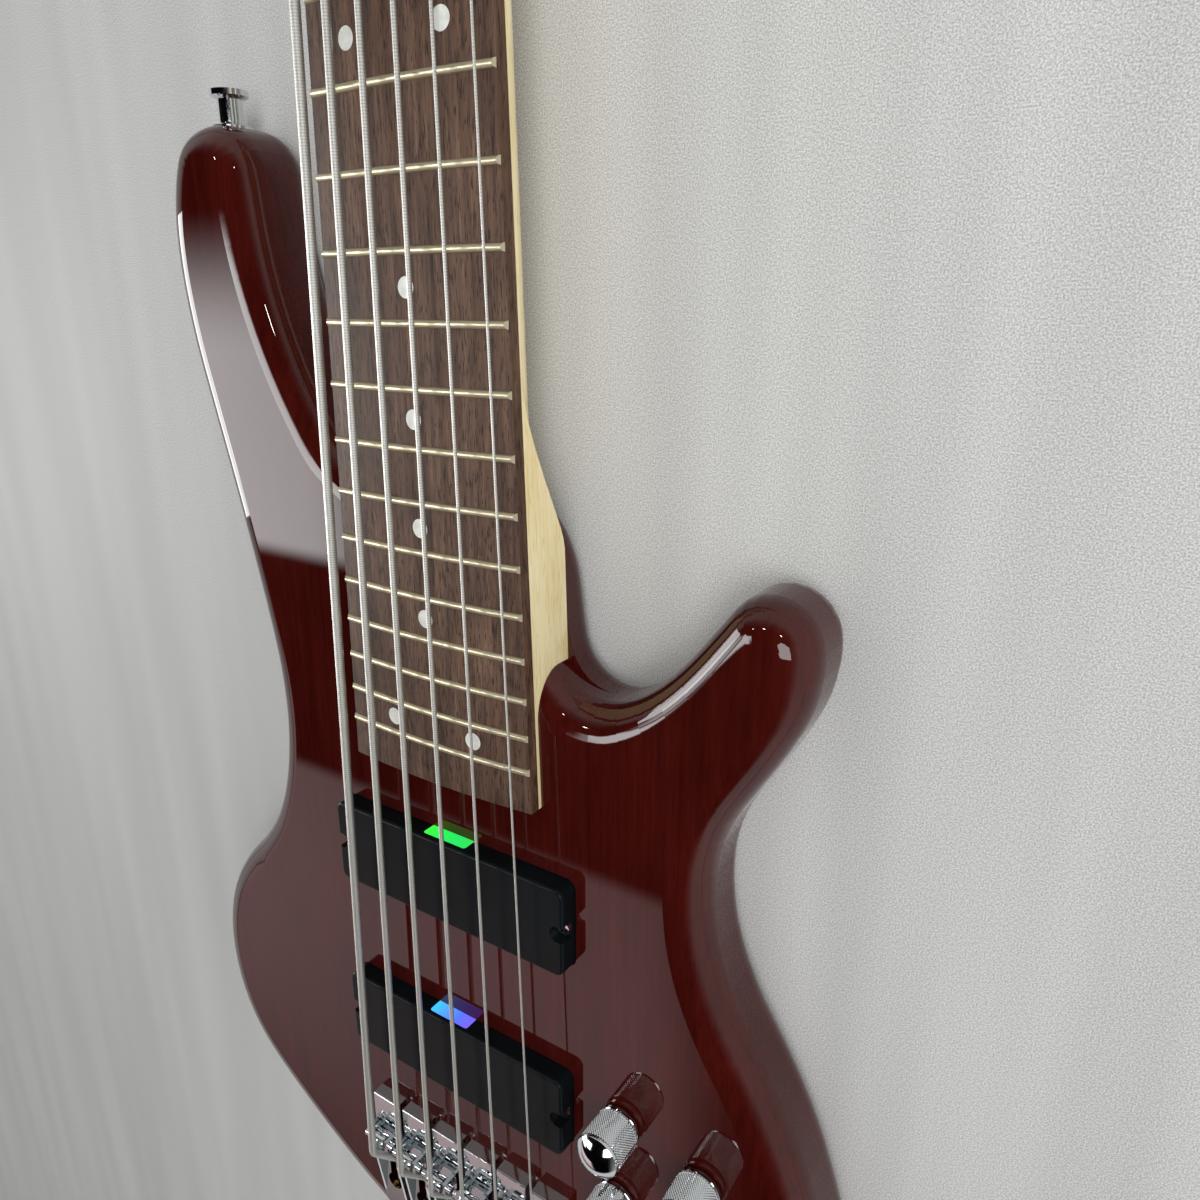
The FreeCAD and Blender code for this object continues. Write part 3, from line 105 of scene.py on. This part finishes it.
def bands(tree, place, direction, pitch_mm):
    """Waves of that pitch, or about that on a diagonal: the wave texture's phase is 20 times its scale."""
    return add_node(tree, "ShaderNodeTexWave",
                    {"bands_direction": direction, "Scale": 2 * math.pi / (20 * pitch_mm * MM)},
                    {"Vector": place}).outputs["Fac"]


def ramp(tree, value, places, shades):
    """The colour that a ramp of shades, at places from 0 to 1, gives for a value."""
    made = add_node(tree, "ShaderNodeValToRGB", None, {"Fac": value})
    elements = made.color_ramp.elements
    while len(elements) < len(shades):
        elements.new(1.0)
    for element, place, shade in zip(elements, places, shades):
        element.position = place
        element.color = linear(shade)
    return made.outputs["Color"]


def evenly(first, last, count):
    """That many numbers at even steps from first to last."""
    return [first + (last - first) * i / (count - 1) for i in range(count)]


def darkened(tree, colour, veil):
    """A colour multiplied by another."""
    return add_node(tree, "ShaderNodeMix", {"data_type": "RGBA", "blend_type": "MULTIPLY", 0: 1.0},
                    {6: colour, 7: veil}).outputs[2]


def vary(tree, value, middle, shares):
    """A number that goes over those shares of its middle as the value goes from 0 to 1."""
    return add_node(tree, "ShaderNodeMapRange",
                    {"To Min": middle * shares[0], "To Max": middle * shares[1]},
                    {"Value": value}).outputs["Result"]


def relief(tree, height, depth_mm, strength):
    """Normals of a surface with relief of that depth, for a height from 0 to 1."""
    return add_node(tree, "ShaderNodeBump", {"Strength": strength, "Distance": depth_mm * MM},
                    {"Height": height}).outputs["Normal"]


# Kinds of material

GRAIN_REACH = (0.30, 0.70)
PORE_EDGE = (0.36, 0.46)
PATCH_MM = (14, 55)
PATCH_EDGE = (0.32, 0.68)
CLOUD_EDGE = (0.35, 0.65)
GROOVE_SHADE_EDGE = (0.0, 0.6)
WOOD_WEAR = (0.85, 1.15)
METAL_WEAR = (0.6, 1.6)
SOLID_WEAR = (0.8, 1.25)


def planed_wood(name, grain, grain_mm, pores, pore_mm, patches, roughness, pore_depth_mm=0):
    """Wood with its grain along the strings: grain and patch shades from dark to pale, and darker pores."""
    material, tree, shader, place = new_material(name)
    lines = streaks(tree, place, grain_mm, detail=5.0)
    slits = streaks(tree, place, pore_mm, detail=2.0)
    broad = streaks(tree, place, PATCH_MM, detail=2.0)
    colour = ramp(tree, lines, evenly(*GRAIN_REACH, len(grain)), grain)
    colour = darkened(tree, colour, ramp(tree, slits, PORE_EDGE, (pores, WHITE)))
    colour = darkened(tree, colour, ramp(tree, broad, PATCH_EDGE, patches))
    tree.links.new(colour, shader.inputs["Base Color"])
    tree.links.new(vary(tree, broad, roughness, WOOD_WEAR), shader.inputs["Roughness"])
    if pore_depth_mm:
        tree.links.new(relief(tree, slits, pore_depth_mm, strength=0.6), shader.inputs["Normal"])
    return material


def worked_metal(name, shade, roughness, mark_mm):
    """Bare metal: marks of that size along x, y and z vary its roughness."""
    material, tree, shader, place = new_material(name)
    marks = noise(tree, place, mark_mm, detail=3.0)
    tree.links.new(vary(tree, marks, roughness, METAL_WEAR), shader.inputs["Roughness"])
    shader.inputs["Base Color"].default_value = linear(shade)
    shader.inputs["Metallic"].default_value = 1.0
    return material


def wound_wire(name, shades, roughness, pitch_mm, depth_mm):
    """Metal wire wound round a core: a close row of turns along the strings, with painted shade in the
    grooves between the turns.
    """
    material, tree, shader, place = new_material(name)
    turns = bands(tree, place, "Y", pitch_mm)
    # Painted shade: the colour is darker where the relief is low, in the grooves between turns
    tree.links.new(ramp(tree, turns, GROOVE_SHADE_EDGE, shades), shader.inputs["Base Color"])
    tree.links.new(relief(tree, turns, depth_mm, strength=0.2), shader.inputs["Normal"])
    shader.inputs["Metallic"].default_value = 1.0
    shader.inputs["Roughness"].default_value = roughness
    return material


def mottled_solid(name, shades, roughness, cloud_mm, grit_mm, grit_depth_mm):
    """A moulded or cut solid: cloudy shades, and a fine grit that catches the light."""
    material, tree, shader, place = new_material(name)
    cloud = clouds(tree, place, cloud_mm, detail=3.0)
    grit = clouds(tree, place, grit_mm, detail=2.0)
    tree.links.new(ramp(tree, cloud, CLOUD_EDGE, shades), shader.inputs["Base Color"])
    tree.links.new(vary(tree, grit, roughness, SOLID_WEAR), shader.inputs["Roughness"])
    tree.links.new(relief(tree, grit, grit_depth_mm, strength=0.5), shader.inputs["Normal"])
    return material


# Materials of the nodes

# Mahogany, stained red and sprayed with clear lacquer that was buffed: soft dark grain under a mirror
polished_mahogany = planed_wood(
    "polished_mahogany", grain=("#390d0a", "#40100c", "#47130e"), grain_mm=(2.4, 90),
    pores="#eee6e4", pore_mm=(0.9, 14), patches=("#e2d7d5", WHITE), roughness=0.45)
sockets(polished_mahogany)["Specular IOR Level"].default_value = 0.0
sockets(polished_mahogany)["Coat Weight"].default_value = 1.0
sockets(polished_mahogany)["Coat Roughness"].default_value = 0.025

# Maple, sanded and sealed: pale straw with thin, close lines and a satin sheen
satin_maple = planed_wood(
    "satin_maple", grain=("#e8d9ab", "#efe2b8", "#f4e9c6"), grain_mm=(1.1, 70),
    pores="#f3e9d0", pore_mm=(0.5, 9), patches=("#f2ead8", WHITE), roughness=0.36)

# Rosewood, oiled and left open: warm brown, dark streaks, and pores as short scratches
oiled_rosewood = planed_wood(
    "oiled_rosewood", grain=("#443027", "#5b4335", "#6a4f3e", "#7c614e"), grain_mm=(1.6, 30),
    pores="#8a7c74", pore_mm=(0.5, 5), patches=("#c4b8b0", WHITE), roughness=0.55, pore_depth_mm=0.1)
sockets(oiled_rosewood)["Specular IOR Level"].default_value = 0.3

# Nickel silver wire, filed across and polished: warm pale metal with streaks along each fret
dressed_nickel_silver = worked_metal(
    "dressed_nickel_silver", "#dbd2b4", roughness=0.38, mark_mm=(6, 0.4, 0.4))
# Steel bar as drawn: dull grey
drawn_steel = worked_metal("drawn_steel", "#999ca0", roughness=0.42, mark_mm=(0.6, 4, 0.6))
# Steel screws, turned and nickel plated: bright with fine rings
plated_steel = worked_metal("plated_steel", "#c3c5c8", roughness=0.22, mark_mm=(0.4, 0.4, 0.4))
# Chrome over polished castings: a clear mirror with faint handling marks
chrome_plate = worked_metal("chrome_plate", "#dfe3e6", roughness=0.06, mark_mm=(3, 3, 3))
# Pressed and plated cans of the potentiometers: soft grey
pressed_can = worked_metal("pressed_can", "#a9a8a2", roughness=0.4, mark_mm=(0.8, 0.8, 0.8))
# Brass ball ends, turned: yellow with tool marks
turned_brass = worked_metal("turned_brass", "#c8a050", roughness=0.28, mark_mm=(0.3, 0.3, 0.3))
# Nickel windings, pale and satin. Their pitch is coarser than the real wire's, so that the turns show
# The darker of the two shades lies in the grooves between the turns: painted shade
wound_nickel = wound_wire(
    "wound_nickel", ("#cbcac4", "#e4e3de"), roughness=0.58, pitch_mm=0.9, depth_mm=0.06)

# Pearl plastic: milky white with slow clouds
pearl_inlay = mottled_solid(
    "pearl_inlay", ("#d4d6cf", "#e6e6e0"), roughness=0.25, cloud_mm=2.5, grit_mm=0.5, grit_depth_mm=0.01)
# Black synthetic bone: dense and polished
black_bone = mottled_solid(
    "black_bone", ("#151515", "#1f1f1e"), roughness=0.22, cloud_mm=3.0, grit_mm=0.5, grit_depth_mm=0.01)
# Moulded black ABS: blue-black with a low sheen
moulded_abs = mottled_solid(
    "moulded_abs", ("#0a0f11", "#0e1417"), roughness=0.3, cloud_mm=18.0, grit_mm=0.7, grit_depth_mm=0.012)
sockets(moulded_abs)["Specular IOR Level"].default_value = 0.12
# Coil of lacquered copper wire round a bar magnet
copper_coil = mottled_solid(
    "copper_coil", ("#7a4326", "#96562f"), roughness=0.35, cloud_mm=4.0, grit_mm=0.3, grit_depth_mm=0.05)

finishes = {
    "gloss_mahogany": polished_mahogany, "satin_maple": satin_maple, "oiled_rosewood": oiled_rosewood,
    "nickel_silver": dressed_nickel_silver, "plain_steel": drawn_steel, "steel_screws": plated_steel,
    "chrome_plate": chrome_plate, "pot_metal": pressed_can, "brass_ball": turned_brass,
    "wound_string": wound_nickel, "pearl_inlay": pearl_inlay, "bone_nut": black_bone,
    "black_plastic": moulded_abs, "coil_and_magnet": copper_coil,
}
for node in nodes.values():
    for slot in node.material_slots:
        slot.material = finishes[slot.material.name.split(".")[0]]


# Knurled control knobs: sizes in mm, heights from the back of the body

SHAFT_FOOT = 23.0
KNOB_FOOT = 36.6
RING_TOP = 38.3
GROOVE_TOP = 38.8
HOLLOW_TOP = 42.6
BARREL_TOP = 53.0
DOME_TOP = 57.0
SHAFT_RADIUS = 3.0
HOLLOW_RADIUS = 6.6
GROOVE_RADIUS = 7.6
RING_RADIUS = 8.3
BARREL_RADIUS = 8.8
FOOT_CHAMFER = 0.3
RING_CHAMFER = 0.2
BARREL_CHAMFER = 0.4
RIM_STEP = 0.3
PLAIN_END = 0.5
DOME_STEPS = 9
KNURL_COLUMNS = 100
KNURL_ROWS = 24
KNURL_DEPTH = 0.34
ROW_HEIGHT = (BARREL_TOP - GROOVE_TOP - 2 * PLAIN_END) / KNURL_ROWS
SEAM_REACH = 0.005
BARREL_REACH = 0.01
SHARP_ANGLE = 24


def knob_profile():
    """Radius and height of the knob's half section, from the foot of its shaft to the top of its dome."""
    points = [(0, SHAFT_FOOT), (SHAFT_RADIUS, SHAFT_FOOT), (SHAFT_RADIUS, HOLLOW_TOP),
              (HOLLOW_RADIUS, HOLLOW_TOP), (HOLLOW_RADIUS, KNOB_FOOT),
              (RING_RADIUS - FOOT_CHAMFER, KNOB_FOOT), (RING_RADIUS, KNOB_FOOT + FOOT_CHAMFER),
              (RING_RADIUS, RING_TOP - RING_CHAMFER), (RING_RADIUS - RING_CHAMFER, RING_TOP),
              (GROOVE_RADIUS, RING_TOP), (GROOVE_RADIUS, GROOVE_TOP),
              (BARREL_RADIUS - BARREL_CHAMFER, GROOVE_TOP)]
    points += [(BARREL_RADIUS, GROOVE_TOP + PLAIN_END + row * ROW_HEIGHT) for row in range(KNURL_ROWS + 1)]
    bulge = DOME_TOP - BARREL_TOP
    ball = (BARREL_RADIUS ** 2 + bulge ** 2) / (2 * bulge)
    sweep = math.asin((BARREL_RADIUS - RIM_STEP) / ball)
    for step in range(DOME_STEPS, -1, -1):
        angle = sweep * step / DOME_STEPS
        points.append((ball * math.sin(angle), DOME_TOP - ball + ball * math.cos(angle)))
    return [Vector((radius * MM, 0, height * MM)) for radius, height in points]


def sinks(place):
    """Whether the knurl presses in the point at that place: every other one, as on a chessboard."""
    radius = math.hypot(place.x, place.y) / MM
    row = round((place.z / MM - GROOVE_TOP - PLAIN_END) / ROW_HEIGHT)
    column = round(math.atan2(place.y, place.x) / (2 * math.pi) * KNURL_COLUMNS)
    on_barrel = abs(radius - BARREL_RADIUS) < BARREL_REACH and 0 < row < KNURL_ROWS
    return on_barrel and (row + column) % 2 == 1


def turn_knob():
    """One knob on the z axis: its half section is drawn point by point, spun, and its barrel knurled."""
    profile = knob_profile()
    bpy.ops.object.select_all(action="DESELECT")
    bpy.ops.mesh.primitive_plane_add(size=MM)
    knob = bpy.context.object
    bpy.context.tool_settings.mesh_select_mode = (True, False, False)
    bpy.ops.object.mode_set(mode="EDIT")
    bpy.ops.mesh.select_all(action="SELECT")
    bpy.ops.mesh.merge(type="CENTER")
    bpy.ops.transform.translate(value=profile[0])
    for before, after in zip(profile, profile[1:]):
        bpy.ops.mesh.extrude_region_move(TRANSFORM_OT_translate={"value": after - before})
    bpy.ops.mesh.select_all(action="SELECT")
    bpy.ops.mesh.spin(steps=KNURL_COLUMNS, angle=2 * math.pi, center=(0, 0, 0), axis=(0, 0, 1))
    bpy.ops.mesh.select_all(action="SELECT")
    bpy.ops.mesh.remove_doubles(threshold=SEAM_REACH * MM)
    bpy.ops.mesh.normals_make_consistent(inside=False)
    bpy.ops.mesh.select_all(action="DESELECT")
    bpy.ops.object.mode_set(mode="OBJECT")
    for vertex in knob.data.vertices:
        vertex.select = sinks(vertex.co)
    bpy.ops.object.mode_set(mode="EDIT")
    shrink = 1 - KNURL_DEPTH / BARREL_RADIUS
    bpy.ops.transform.resize(value=(shrink, shrink, 1), center_override=(0, 0, 0))
    bpy.ops.mesh.select_all(action="SELECT")
    bpy.ops.mesh.quads_convert_to_tris(quad_method="SHORTEST_DIAGONAL")
    bpy.ops.object.mode_set(mode="OBJECT")
    bpy.ops.object.shade_smooth_by_angle(angle=math.radians(SHARP_ANGLE))
    knob.data.materials.append(chrome_plate)
    return knob


pattern_knob = turn_knob()
for name in ("neck_volume_knob", "bridge_volume_knob", "neck_tone_knob", "bridge_tone_knob"):
    low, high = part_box(name)
    knob = pattern_knob.copy()
    knob.data = pattern_knob.data.copy()
    knob.name = name + "_knurled"
    knob.data.transform(Matrix.Translation(((low.x + high.x) / 2, (low.y + high.y) / 2, 0)))
    scene.collection.objects.link(knob)
    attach(knob, name)
    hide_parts(name)
bpy.data.objects.remove(pattern_knob)


# Blank foil labels on the neck-facing sides of the pickups: sizes in mm, heights from the back of the body

LABEL_FOOT = 34.5
LABEL_CORNER = 1.0
LABEL_THICKNESS = 0.1
RULING_PITCH = 1.5
RULING_DEPTH = 0.05
FOIL_PAINTED_GLOW = 1.3


def embossed_foil(name, shades, left_mm, right_mm):
    """Diffraction foil: pure colour that changes along the label, with a painted glow in that colour so
    strong that the lacquer mirrors it.
    """
    material, tree, shader, place = new_material(name)
    axes = add_node(tree, "ShaderNodeSeparateXYZ", None, {"Vector": place})
    along = add_node(tree, "ShaderNodeMapRange", {"From Min": left_mm * MM, "From Max": right_mm * MM},
                     {"Value": axes.outputs["X"]})
    colour = ramp(tree, along.outputs["Result"], evenly(0.0, 1.0, len(shades)), shades)
    ruling = bands(tree, place, "DIAGONAL", RULING_PITCH)
    tree.links.new(colour, shader.inputs["Base Color"])
    # Painted glow: the foil gives off its own colour as light, though it is no lamp
    tree.links.new(colour, shader.inputs["Emission Color"])
    tree.links.new(relief(tree, ruling, RULING_DEPTH, strength=0.3), shader.inputs["Normal"])
    shader.inputs["Emission Strength"].default_value = FOIL_PAINTED_GLOW
    shader.inputs["Roughness"].default_value = 0.3
    return material


def foil_label(name, cover, body, left_mm, right_mm, top_mm, foil):
    """A thin rounded label on the cover's neck-facing side."""
    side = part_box(cover)[1].y
    width, height = right_mm - left_mm, top_mm - LABEL_FOOT
    bpy.ops.object.select_all(action="DESELECT")
    bpy.ops.mesh.primitive_plane_add(size=MM)
    label = bpy.context.object
    label.name = name
    bpy.ops.object.mode_set(mode="EDIT")
    bpy.ops.mesh.select_all(action="SELECT")
    bpy.ops.transform.resize(value=(width, height, 1), center_override=(0, 0, 0))
    bpy.ops.mesh.bevel(offset=LABEL_CORNER * MM, segments=4, affect="VERTICES")
    bpy.ops.transform.rotate(value=math.pi / 2, orient_axis="X", center_override=(0, 0, 0))
    bpy.ops.transform.translate(
        value=((left_mm + width / 2) * MM, side, (top_mm - height / 2) * MM))
    bpy.ops.mesh.extrude_region_move(TRANSFORM_OT_translate={"value": (0, LABEL_THICKNESS * MM, 0)})
    bpy.ops.mesh.select_all(action="SELECT")
    bpy.ops.mesh.normals_make_consistent(inside=False)
    bpy.ops.object.mode_set(mode="OBJECT")
    label.data.materials.append(foil)
    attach(label, body)


for pickup, foil_name, shades, left_mm, right_mm, top_mm in (
        ("neck_pickup", "green_foil", ("#35d83a", "#22cc44", "#1fc052", "#2ab848"), -10.4, 10.5, 41.4),
        ("bridge_pickup", "blue_foil", ("#2fa8ea", "#4484ec", "#4a62ee", "#6450de"), -12.7, 7.0, 41.8)):
    foil = embossed_foil(foil_name, shades, left_mm, right_mm)
    foil_label(pickup + "_label", pickup + "_cover", pickup, left_mm, right_mm, top_mm, foil)


# Floor: a silver-grey sheet, an even pale ground with fine speckle and faint broad bands

FLOOR_SIZE = 9
FLOOR_PLACE = (0, 0.4, -0.0005)
SPECKLE_MM = 0.5
SPECKLE_EDGE = (0.36, 0.64)
BROAD_BAND_MM = (30, 400)
BROAD_BAND_EDGE = (0.3, 0.7)

bpy.ops.object.select_all(action="DESELECT")
bpy.ops.mesh.primitive_plane_add(size=FLOOR_SIZE, location=FLOOR_PLACE)
floor = bpy.context.object
floor.name = "pale_floor"
silver_sheet, tree, shader, place = new_material("silver_sheet")
speckle = clouds(tree, place, SPECKLE_MM, detail=3.0)
broad_bands = streaks(tree, place, BROAD_BAND_MM, detail=1.0)
ground = ramp(tree, speckle, SPECKLE_EDGE, ("#aeaeac", "#e0e0de"))
ground = darkened(tree, ground, ramp(tree, broad_bands, BROAD_BAND_EDGE, ("#f2f2f2", WHITE)))
tree.links.new(ground, shader.inputs["Base Color"])
shader.inputs["Roughness"].default_value = 0.6
shader.inputs["Specular IOR Level"].default_value = 0.1
floor.data.materials.append(silver_sheet)


# Cards that only the lacquer and the metal mirror: sizes in metres

def overhead_card(name, x, y, height, material):
    """A flat card over the object, from x[0] to x[1] and y[0] to y[1]."""
    bpy.ops.object.select_all(action="DESELECT")
    bpy.ops.mesh.primitive_plane_add(size=1, location=(0, 0, 0))
    card = bpy.context.object
    card.name = name
    bpy.ops.object.mode_set(mode="EDIT")
    bpy.ops.transform.resize(value=(x[1] - x[0], y[1] - y[0], 1))
    bpy.ops.transform.translate(value=((x[0] + x[1]) / 2, (y[0] + y[1]) / 2, height))
    bpy.ops.object.mode_set(mode="OBJECT")
    card.data.materials.append(material)
    card.visible_camera = False
    card.visible_diffuse = False


def edge_fade(tree, axis, start, end):
    """A share that goes smoothly from 0 at start to 1 at end, along an axis."""
    return add_node(tree, "ShaderNodeMapRange",
                    {"interpolation_type": "SMOOTHSTEP", "From Min": start, "From Max": end},
                    {"Value": axis}).outputs["Result"]


def product(tree, first, second):
    """Two shares multiplied."""
    return add_node(tree, "ShaderNodeMath", {"operation": "MULTIPLY"}, {0: first, 1: second}).outputs[0]


def soft_card(name, x, y, height, level, fades, tint=WHITE):
    """A card of that brightness, where 1 is white and 0 is black cloth.

    It fades over those lengths at its left, right, front and back edges.
    """
    material, tree, shader, place = new_material(name + "_cloth")
    axes = add_node(tree, "ShaderNodeSeparateXYZ", None, {"Vector": place}).outputs
    across = product(tree, edge_fade(tree, axes["X"], x[0], x[0] + fades[0]),
                     edge_fade(tree, axes["X"], x[1], x[1] - fades[1]))
    along = product(tree, edge_fade(tree, axes["Y"], y[0], y[0] + fades[2]),
                    edge_fade(tree, axes["Y"], y[1], y[1] - fades[3]))
    share = product(tree, across, along)
    shader.inputs["Base Color"].default_value = linear("#0c0c0c")
    shader.inputs["Specular IOR Level"].default_value = 0.0
    shader.inputs["Emission Color"].default_value = linear(tint)
    if level:
        tree.links.new(vary(tree, share, level, (0.0, 1.0)), shader.inputs["Emission Strength"])
    else:
        tree.links.new(share, shader.inputs["Alpha"])
    overhead_card(name, x, y, height, material)


# The lacquer mirrors the black cloth as deep red, and the pale cards as haze and bright edges
soft_card("dark_ceiling", x=(-4.6, 3.4), y=(-4.6, 3.6), height=1.6, level=0,
          fades=(1.5, 2.4, 1.5, 2.4))
soft_card("front_card", x=(-3.6, -0.42), y=(-3.6, -1.01), height=1.5, level=0.84,
          fades=(0.2, 0.36, 2.6, 0.06), tint="#ffe4e5")
soft_card("side_strip", x=(-3.4, -1.4), y=(-0.36, 0.62), height=1.5, level=4.6,
          fades=(0.2, 0.5, 0.06, 0.4))
soft_card("window_card", x=(-1.85, -0.65), y=(-0.02, 0.6), height=1.48, level=8.0,
          fades=(0.3, 0.3, 0.1, 0.1))


# Lamps: sizes in metres

def soft_panel(name, centre, target, width, length, brightness):
    """A flat lamp of even brightness, where 1 is white, aimed from centre at target."""
    lamp = bpy.data.lights.new(name, "AREA")
    lamp.shape = "RECTANGLE"
    lamp.size, lamp.size_y = width, length
    lamp.energy = brightness * width * length * math.pi
    panel = bpy.data.objects.new(name, lamp)
    panel.location = centre
    panel.rotation_mode = "QUATERNION"
    panel.rotation_quaternion = (Vector(target) - Vector(centre)).to_track_quat("-Z", "Y")
    panel.visible_camera = False
    scene.collection.objects.link(panel)
    return panel


soft_panel("key_panel", centre=(0.87, 0.36, 1.42), target=(0.1, 0.35, 0),
           width=0.66, length=0.75, brightness=5.6)
neck_fill = soft_panel("neck_fill", centre=(0.55, 0.8, 0.85), target=(0.05, 0.65, 0),
                       width=0.3, length=0.3, brightness=11.4)
neck_fill.visible_glossy = False
right_wall = soft_panel("right_wall", centre=(2.3, 0.9, 0.9), target=(0, 0.7, 0.2),
                        width=3.0, length=1.6, brightness=1.2)
right_wall.visible_glossy = False
left_window = soft_panel("left_window", centre=(-2.0, 0.2, 0.7), target=(0, 0.2, 0.7),
                         width=0.8, length=1.0, brightness=7.0)
left_window.visible_diffuse = False
for x, y in ((-0.91, 1.19), (-0.30, 1.36), (0.82, 1.24)):
    soft_panel("downlight", centre=(x, y, 1.5), target=(0.1, 0.3, 0),
               width=0.05, length=0.05, brightness=60.0)


# Pale surroundings: seen and mirrored at their own shade, and dimmer as light on the object

world = bpy.data.worlds.new("pale_studio")
world.use_nodes = True
tree = world.node_tree
seen = tree.nodes["Background"]
seen.inputs["Color"].default_value = linear("#cdcdcb")
glow = add_node(tree, "ShaderNodeBackground", {"Color": linear("#f4f4f4"), "Strength": 0.45})
path = add_node(tree, "ShaderNodeLightPath")
looks = add_node(tree, "ShaderNodeMath", {"operation": "MAXIMUM"},
                 {0: path.outputs["Is Camera Ray"], 1: path.outputs["Is Glossy Ray"]})
looks = add_node(tree, "ShaderNodeMath", {"operation": "MAXIMUM"},
                 {0: looks.outputs[0], 1: path.outputs["Is Transmission Ray"]})
both = add_node(tree, "ShaderNodeMixShader", None,
                {0: looks.outputs[0], 1: glow.outputs[0], 2: seen.outputs[0]})
tree.links.new(both.outputs[0], tree.nodes["World Output"].inputs["Surface"])
scene.world = world


# Camera: its place and its three directions were solved from where the frets lie in the photo

CAMERA_PLACE = (0.215688, 0.369132, 0.263323)
CAMERA_RIGHT = Vector((0.83739917, 0.00206893, -0.54658792))
CAMERA_DOWN = Vector((0.16987976, -0.95145424, 0.25666261))
CAMERA_AHEAD = Vector((-0.51952238, -0.30778328, -0.79709846))

eye = bpy.data.cameras.new("photo_camera")
eye.sensor_width = 36
eye.lens = 27.4638
eye.clip_start = 0.01
camera = bpy.data.objects.new("photo_camera", eye)
turned = Matrix((CAMERA_RIGHT, -CAMERA_DOWN, -CAMERA_AHEAD)).transposed()
camera.matrix_world = Matrix.Translation(CAMERA_PLACE) @ turned.to_4x4()
scene.collection.objects.link(camera)
scene.camera = camera
